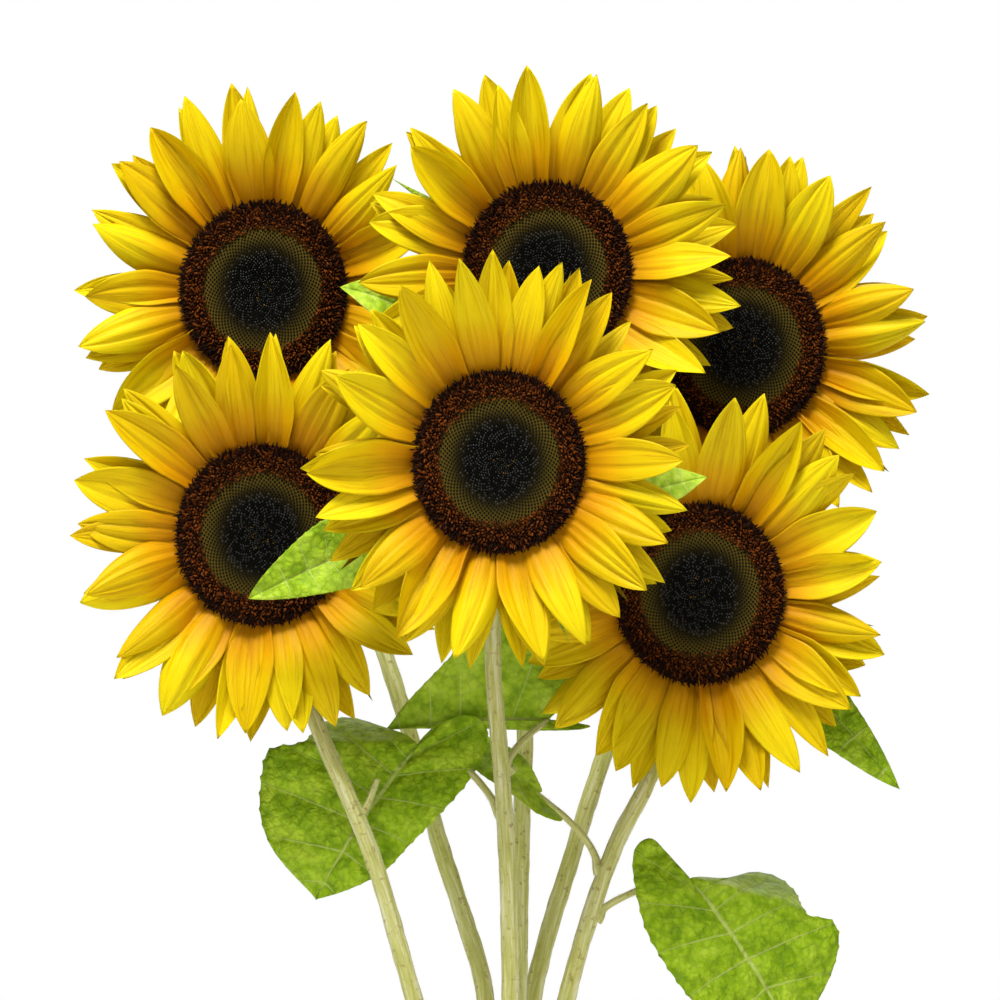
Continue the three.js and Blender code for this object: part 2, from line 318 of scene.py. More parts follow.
@dataclass(frozen=True)
class Blades:
    """Thin closed blades, each a front and a back sheet that meet round the rim.

    The sheets are walked round as a flattened tube: over the front from left to right, then back behind it.
    """

    rows: int
    columns: int

    @property
    def along(self) -> Array:
        """Shares of the length, from root to tip, closer together towards the tip."""
        t = np.linspace(0, 1, self.rows)
        return (t * (1.25 - 0.25 * t))[None, :, None]

    @property
    def across(self) -> Array:
        """Places across, from -1 on the left to 1 on the right."""
        return np.linspace(-1, 1, self.columns)[None, None, :]

    def faces(self) -> Array:
        """Faces of the tube and of its two narrow ends, as point numbers."""
        ring = 2 * self.columns
        j = np.arange(self.columns - 1)
        foot = np.stack([j, ring - 1 - j, ring - 2 - j, j + 1], -1)
        tip = (self.rows - 1) * ring + np.stack([j, j + 1, ring - 2 - j, ring - 1 - j], -1)
        return np.concatenate([grid_faces(self.rows, ring, joined=True), foot, tip])

    def wrap(self, front: Array, back: Array) -> Array:
        """Joins front and back sheets of values to rings.

        Args:
            front: (copies, rows, columns, k).
            back: the same for the other side.

        Returns:
            (copies, rows * 2 * columns, k).
        """
        rings = np.concatenate([front, back[:, :, ::-1]], axis=2)
        return rings.reshape(len(front), -1, front.shape[-1])

    def tags(self, tone: Array, along: Array | None = None) -> Array:
        """Gives what the materials read: share of length, place across from 0 to 1, tone, and 1 on the front.

        Args:
            tone: (copies,) or (copies, rows, columns), from 0 to 1.
            along: what stands for the share of length, (1, rows, columns), or none for the plain share.

        Returns:
            (copies, points, 4).
        """
        along = self.along if along is None else along
        tone = tone[:, None, None] if tone.ndim == 1 else tone
        front = stacked(along, (self.across + 1) / 2, tone, 1.0)
        return self.wrap(front, front * np.array([1.0, 1.0, 1.0, 0.0]))

    def corners(self, copies: int, side_by_side: int) -> Array:
        """Places each copy's unrolled tube in its own cell of a square map.

        Args:
            copies: how many blades share the map.
            side_by_side: how many cells stand side by side.

        Returns:
            (copies, faces, 4, 2) places on the map.
        """
        ring = 2 * self.columns
        tube = (self.rows - 1) * ring
        row, column = np.divmod(self.faces(), ring)
        wraps = (column[:tube] == 0) & (column[:tube].max(axis=1, keepdims=True) == ring - 1)
        column[:tube][wraps] = ring
        place = np.stack([column / ring, row / (self.rows - 1)], -1)
        cells = np.array([side_by_side, math.ceil(copies / side_by_side)])
        cell = np.stack(np.divmod(np.arange(copies), side_by_side)[::-1], -1)
        return (cell[:, None, None, :] + 0.03 + 0.94 * place[None]) / cells


# ---------------------------------------------------------------- finishes


def linear(colour: str) -> tuple[float, float, float, float]:
    """Turns an sRGB hex colour to linear red, green, blue and alpha.

    Args:
        colour: such as "#f4ce14".

    Returns:
        The linear colour.
    """
    parts = [int(colour[i : i + 2], 16) / 255 for i in (1, 3, 5)]
    return (*(p / 12.92 if p <= 0.04045 else ((p + 0.055) / 1.055) ** 2.4 for p in parts), 1.0)


def add_node(tree: Tree, kind: str, inputs: dict | None = None, out: int | str = 0,
             stops: dict[float, str] | None = None, **settings) -> Socket:
    """Adds a node, sets it up and links it.

    Args:
        tree: the node tree.
        kind: the node's type, without its ShaderNode.
        inputs: socket name or number to a value, or to the output that feeds it.
        out: the output to give back.
        stops: a colour ramp's positions and hex colours, in rising order.
        settings: the node's own properties.

    Returns:
        One of the new node's outputs.
    """
    node = tree.nodes.new("ShaderNode" + kind)
    for key, value in settings.items():
        setattr(node, key, value)
    for index, (position, colour) in enumerate((stops or {}).items()):
        elements = node.color_ramp.elements
        used = elements[index] if index < 2 else elements.new(position)
        used.position, used.color = position, linear(colour)
    for socket, value in (inputs or {}).items():
        if isinstance(value, Socket):
            tree.links.new(value, node.inputs[socket])
        else:
            node.inputs[socket].default_value = value
    return node.outputs[out]


@dataclass(frozen=True)
class Finish:
    """A surface: its plain settings here, its colours and relief in paint()."""

    name: str
    roughness: float = 0.6
    specular: float = 0.35
    sheen: float = 0.0

    def material(self) -> bpy.types.Material:
        """Gives the finish's material, made the first time it is asked for."""
        found = bpy.data.materials.get(self.name)
        if found:
            return found
        made = bpy.data.materials.new(self.name)
        made.use_nodes = True
        tree = made.node_tree
        shader = tree.nodes["Principled BSDF"]
        shader.inputs["Roughness"].default_value = self.roughness
        shader.inputs["Specular IOR Level"].default_value = self.specular
        shader.inputs["Sheen Weight"].default_value = self.sheen
        self.paint(tree, shader)
        return made

    def paint(self, tree: Tree, shader: bpy.types.Node) -> None:
        """Adds the colours and relief.

        Args:
            tree: the material's node tree.
            shader: its main shader.
        """
        raise NotImplementedError


@dataclass(frozen=True)
class PlainFinish(Finish):
    """A surface of one colour, for florets and hairs too small to carry a pattern of their own."""

    colour: str = "#808080"

    def paint(self, tree: Tree, shader: bpy.types.Node) -> None:
        """Sets the one colour."""
        shader.inputs["Base Color"].default_value = linear(self.colour)


@dataclass(frozen=True)
class PetalFinish(Finish):
    """Ray petal: thin satin tissue that lets some light through, orange at the root, deepened to brown there
    by painted shade, and lemon at the tip.

    Fine veins run along it, one about every 1.3 mm, over a slight relief; where the relief sinks lowest they
    are painted darker, standing both for vein colour and for painted shade in those grooves.
    """

    veins: float = 15.0
    depth_mm: float = 0.35
    glow_mm: float = 1.2

    def paint(self, tree: Tree, shader: bpy.types.Node) -> None:
        """Paints root, blade, veins and the paler back, with painted shade at the root and in the grooves.

        Args:
            tree: the material's node tree.
            shader: its main shader.
        """
        tag = add_node(tree, "Attribute", attribute_name="tag").node.outputs
        part = add_node(tree, "SeparateColor", {"Color": tag["Color"]}).node.outputs
        # Painted shade: the two darkest stops, brown-orange at the root, stand both for the root's own orange
        # and for the shade where the petals pass under the disc.
        front = add_node(tree, "ValToRGB", {"Fac": part["Red"]}, stops={
            0.0: "#a86a02", 0.1: "#c58803", 0.3: "#e4b004", 0.52: "#ecd00a", 1.0: "#eed90f"})
        rear = add_node(tree, "ValToRGB", {"Fac": part["Red"]}, stops={
            0.0: "#b08e0a", 0.4: "#c9ac10", 1.0: "#d2ba16"})
        base = add_node(tree, "Mix", {0: tag["Alpha"], 6: rear, 7: front}, out=2, data_type="RGBA")
        lanes = add_node(tree, "Math", {0: part["Green"], 1: self.veins}, operation="MULTIPLY")
        slow = add_node(tree, "Math", {0: part["Red"], 1: 1.6}, operation="MULTIPLY")
        own = add_node(tree, "Math", {0: part["Blue"], 1: 40.0}, operation="MULTIPLY")
        place = add_node(tree, "CombineXYZ", {0: lanes, 1: slow, 2: own})
        streak = add_node(tree, "TexNoise", {"Vector": place, "Scale": 1.0, "Detail": 3.0, "Roughness": 0.6})
        # Painted shade: where a streak sinks lowest in the relief it is darkened towards #b07c03, standing
        # both for the vein's colour and for the shade in its groove.
        line = add_node(tree, "MapRange", {0: streak, 1: 0.32, 2: 0.5, 3: 1.0, 4: 0.0})
        faint = add_node(tree, "Math", {0: line, 1: 0.5}, operation="MULTIPLY")
        groove_shaded = add_node(tree, "Mix", {0: faint, 6: base, 7: linear("#b07c03")}, out=2, data_type="RGBA")
        tone = add_node(tree, "ValToRGB", {"Fac": part["Blue"]}, stops={
            0.0: "#8f8445", 0.06: "#efdca8", 0.5: "#fbf4e4", 1.0: "#ffffff"})
        colour = add_node(tree, "Mix", {0: 1.0, 6: groove_shaded, 7: tone}, out=2,
                          data_type="RGBA", blend_type="MULTIPLY")
        bump = add_node(tree, "Bump", {"Strength": 0.55, "Distance": self.depth_mm * MM, "Height": streak})
        tree.links.new(colour, shader.inputs["Base Color"])
        tree.links.new(bump, shader.inputs["Normal"])
        shader.inputs["Subsurface Weight"].default_value = 0.2
        shader.inputs["Subsurface Radius"].default_value = (1.0, 0.8, 0.1)
        shader.inputs["Subsurface Scale"].default_value = self.glow_mm * MM


@dataclass(frozen=True)
class DiscFloorFinish(Finish):
    """The seed disc's floor: near black in the middle, a dull gold net further out, dark brown at the rim."""

    grain_mm: float = 1.1

    def paint(self, tree: Tree, shader: bpy.types.Node) -> None:
        """Paints the zones by their share of the radius, under a fine grain.

        Args:
            tree: the material's node tree.
            shader: its main shader.
        """
        tag = add_node(tree, "Attribute", attribute_name="tag")
        share = add_node(tree, "SeparateColor", {"Color": tag})
        zones = add_node(tree, "ValToRGB", {"Fac": share}, stops={
            0.0: "#0b0b08", 0.38: "#12110a", 0.48: "#332b0e", 0.58: "#5e5019", 0.68: "#72601f",
            0.74: "#2e1808", 1.0: "#2b1407"})
        grain = add_node(tree, "TexNoise", {"Scale": 1 / (self.grain_mm * MM), "Detail": 2.0})
        shade = add_node(tree, "ValToRGB", {"Fac": grain}, stops={0.35: "#8a8272", 0.65: "#ffffff"})
        colour = add_node(tree, "Mix", {0: 1.0, 6: zones, 7: shade}, out=2,
                          data_type="RGBA", blend_type="MULTIPLY")
        tree.links.new(colour, shader.inputs["Base Color"])


@dataclass(frozen=True)
class LeafFinish(Finish):
    """Leaf blade: rough, blistered, patchy yellow-green between pale veins, and duller underneath.

    The blisters and the faint net of small veins are cells pushed about by a cloudy noise; each blister has a
    painted highlight on its top and painted shade in the creases round it.
    """

    side_veins: int = 7
    blister_mm: float = 4.2
    net_mm: float = 6.5
    swirl_mm: float = 6.0
    dullness: float = 0.6
    patch_mm: float = 13.0
    relief_mm: float = 2.0

    def paint(self, tree: Tree, shader: bpy.types.Node) -> None:
        """Paints blade, blisters with their painted highlights and shade, veins and underside.

        Args:
            tree: the material's node tree.
            shader: its main shader.
        """
        tag = add_node(tree, "Attribute", attribute_name="tag").node.outputs
        part = add_node(tree, "SeparateColor", {"Color": tag["Color"]}).node.outputs
        place = add_node(tree, "TexCoord", out="Object")
        patches, blisters = 1 / (self.patch_mm * MM), 1 / (self.blister_mm * MM)
        meshes = 1 / (self.net_mm * MM)
        patch = add_node(tree, "TexNoise", {
            "Vector": place, "Scale": patches, "Detail": 4.0, "Roughness": 0.6})
        dark = add_node(tree, "ValToRGB", {"Fac": patch}, stops={
            0.36: "#7a9f08", 0.5: "#93b711", 0.64: "#b0cf2e"})
        light = add_node(tree, "ValToRGB", {"Fac": patch}, stops={
            0.36: "#a6c926", 0.5: "#bcdb3d", 0.64: "#cfe75c"})
        blade = add_node(tree, "Mix", {0: part["Blue"], 6: dark, 7: light}, out=2, data_type="RGBA")
        swirl = add_node(tree, "TexNoise", {"Vector": place, "Scale": blisters, "Detail": 2.0}, out=1)
        shift = (self.swirl_mm * MM,) * 3
        bent = add_node(tree, "VectorMath", {0: swirl, 1: shift, 2: place}, operation="MULTIPLY_ADD")
        cells = add_node(tree, "TexVoronoi", {"Vector": bent, "Scale": blisters}, feature="F1")
        # Painted highlight: the middle of each blister is lightened towards #b3d02c, as where light catches
        # its top.
        glow = add_node(tree, "MapRange", {0: cells, 1: 0.05, 2: 0.5, 3: 0.45, 4: 0.0})
        blade = add_node(tree, "Mix", {0: glow, 6: blade, 7: linear("#b3d02c")}, out=2, data_type="RGBA")
        # Painted shade: the creases between blisters are darkened towards #4f7600.
        crease_shade = add_node(tree, "MapRange", {0: cells, 1: 0.4, 2: 0.85, 3: 0.0, 4: 0.4})
        blade = add_node(tree, "Mix", {0: crease_shade, 6: blade, 7: linear("#4f7600")}, out=2, data_type="RGBA")
        net = add_node(tree, "TexVoronoi", {"Vector": bent, "Scale": meshes}, feature="DISTANCE_TO_EDGE")
        mesh = add_node(tree, "MapRange", {0: net, 1: 0.0, 2: 0.05, 3: 0.14, 4: 0.0})
        centre = add_node(tree, "Math", {0: part["Green"], 1: 0.5}, operation="SUBTRACT")
        aside = add_node(tree, "Math", {0: centre}, operation="ABSOLUTE")
        lanes = add_node(tree, "Math", {0: part["Red"], 1: math.pi * self.side_veins}, operation="MULTIPLY")
        swing = add_node(tree, "Math", {0: lanes}, operation="COSINE")
        wave = add_node(tree, "Math", {0: swing}, operation="ABSOLUTE")
        reach = add_node(tree, "MapRange", {0: aside, 1: 0.0, 2: 0.45, 3: 0.17, 4: 0.04})
        side = add_node(tree, "MapRange", {0: wave, 1: 0.0, 2: reach, 3: 1.0, 4: 0.0})
        middle = add_node(tree, "MapRange", {0: aside, 1: 0.007, 2: 0.017, 3: 1.0, 4: 0.0})
        veins = add_node(tree, "Math", {0: side, 1: middle}, operation="MAXIMUM")
        lines = add_node(tree, "Math", {0: veins, 1: mesh}, operation="MAXIMUM")
        pale = add_node(tree, "Math", {0: lines, 1: 0.78}, operation="MULTIPLY")
        colour = add_node(tree, "Mix", {0: pale, 6: blade, 7: linear("#c3d372")}, out=2, data_type="RGBA")
        under = add_node(tree, "Mix", {0: self.dullness, 6: colour, 7: linear("#a9ba7c")}, out=2,
                         data_type="RGBA")
        sided = add_node(tree, "Mix", {0: tag["Alpha"], 6: under, 7: colour}, out=2, data_type="RGBA")
        ridge = add_node(tree, "Math", {0: lines, 1: 0.25}, operation="MULTIPLY")
        relief = add_node(tree, "Math", {0: ridge, 1: cells}, operation="SUBTRACT")
        strength = add_node(tree, "MapRange", {0: part["Blue"], 1: 0.1, 2: 0.8, 3: 0.8, 4: 0.3})
        bump = add_node(tree, "Bump", {
            "Strength": strength, "Distance": self.relief_mm * MM, "Height": relief})
        tree.links.new(sided, shader.inputs["Base Color"])
        tree.links.new(bump, shader.inputs["Normal"])


@dataclass(frozen=True)
class StemFinish(Finish):
    """Stem skin: pale straw green, matt with down, faintly streaked along its ribs and flecked with brown."""

    dark: str = "#acae55"
    middle: str = "#cdcc7c"
    pale: str = "#e6e4b8"
    fleck_mm: float = 3.2
    relief_mm: float = 0.7

    def paint(self, tree: Tree, shader: bpy.types.Node) -> None:
        """Paints streaks and flecks.

        Args:
            tree: the material's node tree.
            shader: its main shader.
        """
        tag = add_node(tree, "Attribute", attribute_name="tag").node.outputs
        part = add_node(tree, "SeparateColor", {"Color": tag["Color"]}).node.outputs
        turn = add_node(tree, "Math", {0: part["Red"], 1: FULL_TURN}, operation="MULTIPLY")
        x = add_node(tree, "Math", {0: turn}, operation="COSINE")
        y = add_node(tree, "Math", {0: turn}, operation="SINE")
        place = add_node(tree, "CombineXYZ", {0: x, 1: y, 2: part["Green"]})
        streak = add_node(tree, "TexNoise", {"Vector": place, "Scale": 2.6, "Detail": 5.0, "Roughness": 0.65})
        skin = add_node(tree, "ValToRGB", {"Fac": streak}, stops={
            0.3: self.dark, 0.5: self.middle, 0.68: self.pale})
        where = add_node(tree, "TexCoord", out="Object")
        spot = add_node(tree, "TexNoise", {"Vector": where, "Scale": 1 / (self.fleck_mm * MM), "Detail": 3.0})
        flecks = add_node(tree, "MapRange", {0: spot, 1: 0.6, 2: 0.72, 3: 0.0, 4: 0.7})
        colour = add_node(tree, "Mix", {0: flecks, 6: skin, 7: linear("#94783a")}, out=2, data_type="RGBA")
        both = add_node(tree, "Math", {0: spot, 1: streak}, operation="ADD")
        bump = add_node(tree, "Bump", {"Strength": 0.6, "Distance": self.relief_mm * MM, "Height": both})
        tree.links.new(colour, shader.inputs["Base Color"])
        tree.links.new(bump, shader.inputs["Normal"])


@dataclass(frozen=True)
class FloorFinish(Finish):
    """Studio floor: matt off-white paint with a barely visible roller grain."""

    def paint(self, tree: Tree, shader: bpy.types.Node) -> None:
        """Paints the grain."""
        grain = add_node(tree, "TexNoise", {"Scale": 40.0})
        colour = add_node(tree, "ValToRGB", {"Fac": grain}, stops={0.3: "#eceae5", 0.7: "#f1f0ec"})
        tree.links.new(colour, shader.inputs["Base Color"])


class Look(Enum):
    """Every finish on the plant and round it."""

    PETAL = PetalFinish("ray_petal", roughness=0.5, specular=0.08)
    DISC_FLOOR = DiscFloorFinish("seed_disc_floor", roughness=0.8, specular=0.06)
    BLACK_BUD = PlainFinish("black_seed_bud", roughness=0.6, specular=0.06, colour="#0a0905")
    SLATE_BUD = PlainFinish("slate_seed_bud", roughness=0.3, specular=0.45, colour="#151613")
    GOLD_BUD = PlainFinish("gold_seed_bud", roughness=0.6, specular=0.2, colour="#6b5015")
    BROWN_FLORET = PlainFinish("brown_floret", roughness=0.8, specular=0.06, colour="#55290c")
    RUST_FLORET = PlainFinish("rust_floret", roughness=0.8, specular=0.06, colour="#753d12")
    DARK_FLORET = PlainFinish("dark_floret", roughness=0.8, specular=0.06, colour="#3a1c0a")
    ANTHER = PlainFinish("black_anther_tip", roughness=0.7, specular=0.1, colour="#1d0e06")
    LEAF = LeafFinish("leaf_blade", roughness=0.55, specular=0.12)
    BRACT = LeafFinish("green_bract", roughness=0.6, specular=0.15,
                       side_veins=1, blister_mm=2.0, dullness=0.2)
    STEM = StemFinish("stem_skin", roughness=0.7, specular=0.15, sheen=0.15)
    CROWN = StemFinish("woody_crown_skin", roughness=0.8, specular=0.2,
                       dark="#7d7a3c", middle="#a39c57", pale="#c6bf8a")
    HAIR = PlainFinish("pale_stem_hair", roughness=0.6, specular=0.2, colour="#f1efdc")
    FLOOR = FloorFinish("pale_matt_floor", roughness=0.85, specular=0.2)

    @property
    def material(self) -> bpy.types.Material:
        """The finish's material."""
        return self.value.material()


# ---------------------------------------------------------------- reading the frame


def node_mesh(node: str) -> tuple[Array, Array]:
    """Welded points of a frame node and the edges between them.

    Args:
        node: the node's name.

    Returns:
        (n, 3) points and (m, 2) point numbers.
    """
    mesh = frame["nodes"][node].data
    points = np.empty(len(mesh.vertices) * 3)
    mesh.vertices.foreach_get("co", points)
    welded, number = np.unique(np.round(points.reshape(-1, 3), 5), axis=0, return_inverse=True)
    loops = np.empty(len(mesh.loops), int)
    mesh.loops.foreach_get("vertex_index", loops)
    corners = number.ravel()[loops].reshape(-1, 3)
    return welded, np.concatenate([corners[:, [0, 1]], corners[:, [1, 2]], corners[:, [2, 0]]])


def limb_spine(node: str, start: Array, reach: float) -> Array:
    """The middle line of a round limb, from one of its ends to the other.

    The limb's rings are found one after another by walking outwards over its edges, and each ring's mean is
    a point of the line.

    Args:
        node: the limb's name.
        start: a point on the rim of the end to start from.
        reach: how wide the first ring is, in metres.

    Returns:
        (n, 3) points.
    """
    points, edges = node_mesh(node)
    seen = np.linalg.norm(points - start, axis=1) < reach
    ring, line = seen.copy(), []
    while ring.any():
        line.append(points[ring].mean(axis=0))
        touched = np.zeros(len(points), bool)
        touched[edges[ring[edges[:, 0]], 1]] = True
        touched[edges[ring[edges[:, 1]], 0]] = True
        ring = touched & ~seen
        seen |= ring
    return np.array(line)


def stalk_spine(node: str, stems: Array) -> Array:
    """The middle line of a leaf stalk, from its free end to the stem it grows on.

    Args:
        node: the stalk's name.
        stems: points along every stem, (n, 3).

    Returns:
        (n, 3) points.
    """
    points, _ = node_mesh(node)
    one = points[np.argmax(np.linalg.norm(points - points.mean(axis=0), axis=1))]
    ends = np.stack([one, points[np.argmax(np.linalg.norm(points - one, axis=1))]])
    gaps = np.linalg.norm(ends[:, None] - stems[None], axis=2).min(axis=1)
    return limb_spine(node, ends[np.argmax(gaps)], STALK_END_MM * MM)


# ---------------------------------------------------------------- flower heads


@dataclass
class HeadFrame:
    """Where a flower head is: its middle, its own right, up and facing, and how narrow it is."""

    key: str
    centre: Array
    axes: Array
    squeeze: float

    @classmethod
    def read(cls, key: str) -> "HeadFrame":
        """Finds a head from its disc, whose thinnest direction is the way it faces.

        Args:
            key: the head's letter.

        Returns:
            The head's frame, with its middle on the plane between petals and bracts.
        """
        points, _ = node_mesh(f"disc_{key}")
        facing = np.linalg.eigh(np.cov((points - points.mean(axis=0)).T))[1][:, 0]
        facing = facing * -np.sign(facing[1])
        right = unit(np.cross(facing, [0.0, 0.0, 1.0])) * -1
        up = np.cross(facing, right)
        axes = np.stack([right, up, facing])
        local = points @ axes.T
        low, high = local.min(axis=0), local.max(axis=0)
        seat = np.array([(low[0] + high[0]) / 2, (low[1] + high[1]) / 2, low[2] + DISC_BACK_MM * MM])
        width, height, _ = high - low
        return cls(key, seat @ axes, axes, width / height)

    def place(self, local: Array) -> Array:
        """Carries points from the head's own frame, in millimetres, to the plant's.

        Args:
            local: (..., 3) right, up and forward.

        Returns:
            The same points in metres.
        """
        return self.centre + (local * np.array([self.squeeze, 1.0, 1.0])) @ self.axes * MM

    def revolve(self, radius: Array, height: Array, sides: int) -> tuple[Array, list[Array]]:
        """Turns a profile about the head's axis, from the back's middle to the front's.

        Args:
            radius: (rows,) millimetres from the axis.
            height: (rows,) millimetres forward.
            sides: how many points round the axis.

        Returns:
            (1, rows * sides + 2, 3) points in metres, and the faces.
        """
        turn = circle(sides)
        radius, height = np.array(radius)[:, None], np.array(height)[:, None]
        return closed_tube(self.place(stacked(radius * np.cos(turn), radius * np.sin(turn), height))[None])


@dataclass
class RayPetals:
    """The ray petals of one head, in three overlapping layers, and a last layer of a few withered ones.

    A petal's middle line leaves the disc's rim steeply and flattens, as lift (1 - (1 - s)^1.7). Its width
    goes as (0.68 + 0.32 ease) (1 - u^p)^0.95, full at the root and pointed at the tip. Two grooves run
    down it, and a third, fainter one between them.
    """

    head: HeadFrame
    rng: np.random.Generator
    counts: tuple[int, ...] = (18, 17, 16, 3)
    lengths: tuple[float, ...] = (58, 61, 59, 57)
    widths: tuple[float, ...] = (23.5, 22, 20, 5)
    lifts: tuple[float, ...] = (19, 14, 7, 3)
    seats: tuple[float, ...] = (2.4, 1.2, 0.0, -1.0)
    root_radius: float = 41.0
    rim_radius: float = 44.0
    thickness: float = 0.35
    groove_width: float = 0.11
    sheet: Blades = Blades(16, 19)

    def build(self) -> None:
        """Makes the petals as one piece."""
        rng, n = self.rng, sum(self.counts)
        layer = np.repeat(np.arange(len(self.counts)), self.counts)
        steps = [(np.arange(c) + 0.5 * k) / c for k, c in enumerate(self.counts)]
        angle = np.concatenate(steps) * FULL_TURN + rng.normal(0, 0.055, n)
        withered = layer == len(self.counts) - 1
        angle = angle + np.where(withered, rng.uniform(0, 2, n), 0)
        upright = np.abs(np.sin(angle))
        length = np.array(self.lengths)[layer] * rng.uniform(0.9, 1.04, n) + 2.5 * upright
        width = np.array(self.widths)[layer] * rng.uniform(0.8, 1.14, n)
        petal = self._surface(layer, length, width)
        back = petal - np.array([0, 0, 1.0]) * self.thickness * (1 - 0.85 * self.sheet.across[..., None] ** 4)
        points = self.sheet.wrap(self.head.place(turned(petal, angle)), self.head.place(turned(back, angle)))
        tone = np.where(withered, 0.0, rng.uniform(0.08, 1, n))
        stock = MeshStock()
        stock.add(points, [self.sheet.faces()], tags=self.sheet.tags(tone), corners=self.sheet.corners(n, 8))
        piece = stock.build(f"petals_{self.head.key}", Look.PETAL)
        place_piece(piece, "petal", f"rays_{self.head.key}")

    def _surface(self, layer: Array, length: Array, width: Array) -> Array:
        """Bends, cups, grooves and twists every petal.

        Args:
            layer: which layer each petal is in.
            length: millimetres.
            width: millimetres.

        Returns:
            (petals, rows, columns, 3) outward, to the petal's right, and forward, in millimetres.
        """
        rng, n = self.rng, len(layer)
        u, v = self.sheet.along, self.sheet.across

        def each(values: Array) -> Array:
            """Gives each petal its own value."""
            return values[:, None, None]

        point = each(rng.uniform(2.7, 4.4, n))
        fullness = (0.68 + 0.32 * ease(0.0, 0.42, u)) * np.maximum(1 - u**point, 0.0) ** 0.95
        half = each(width / 2) * np.maximum(fullness, 0.012) / 0.93
        out = self.root_radius + each(length) * u
        free = length - (self.rim_radius - self.root_radius)
        share = np.clip((out - self.rim_radius) / each(free), 0, 1)
        lift = each(np.array(self.lifts)[layer] * rng.uniform(0.75, 1.2, n))
        rise = each(np.array(self.seats)[layer] + rng.uniform(-0.5, 0.5, n)) + lift * (1 - (1 - share) ** 1.7)
        rise = rise + each(rng.normal(-1.5, 3.5, n)) * u**3.5
        sideways = each(rng.normal(0, 0.055, n) * length) * u**2
        roll = each(rng.normal(0, 0.16, n)) + each(rng.normal(0, 0.22, n)) * u**1.5
        cup = each(rng.normal(-0.05, 0.42, n)) + each(rng.uniform(0.1, 0.7, n)) * u**4
        depth = each(rng.uniform(0.9, 2.3, n) * width / 22)
        depth = depth * np.sin(np.pi * np.minimum(u * 0.95 + 0.05, 1)) ** 0.6
        left, right = each(rng.uniform(-0.42, -0.26, n)), each(rng.uniform(0.26, 0.42, n))
        groove = self.groove_width
        grooves = np.exp(-(((v - left) / groove) ** 2)) + np.exp(-(((v - right) / groove) ** 2))
        grooves = grooves + each(rng.uniform(0, 0.8, n)) * np.exp(-((v / 0.1) ** 2))
        phase = each(rng.uniform(0, FULL_TURN, n))
        ripple = 0.45 * np.sin(FULL_TURN * (1.5 * u + 0.2 * v) + phase) * v**2
        raised = cup * half * (v**2 - 0.35) - depth * grooves + ripple
        across = half * v
        lateral = sideways + across * np.cos(roll) - raised * np.sin(roll)
        forward = rise + across * np.sin(roll) + raised * np.cos(roll)
        return stacked(out, lateral, forward)


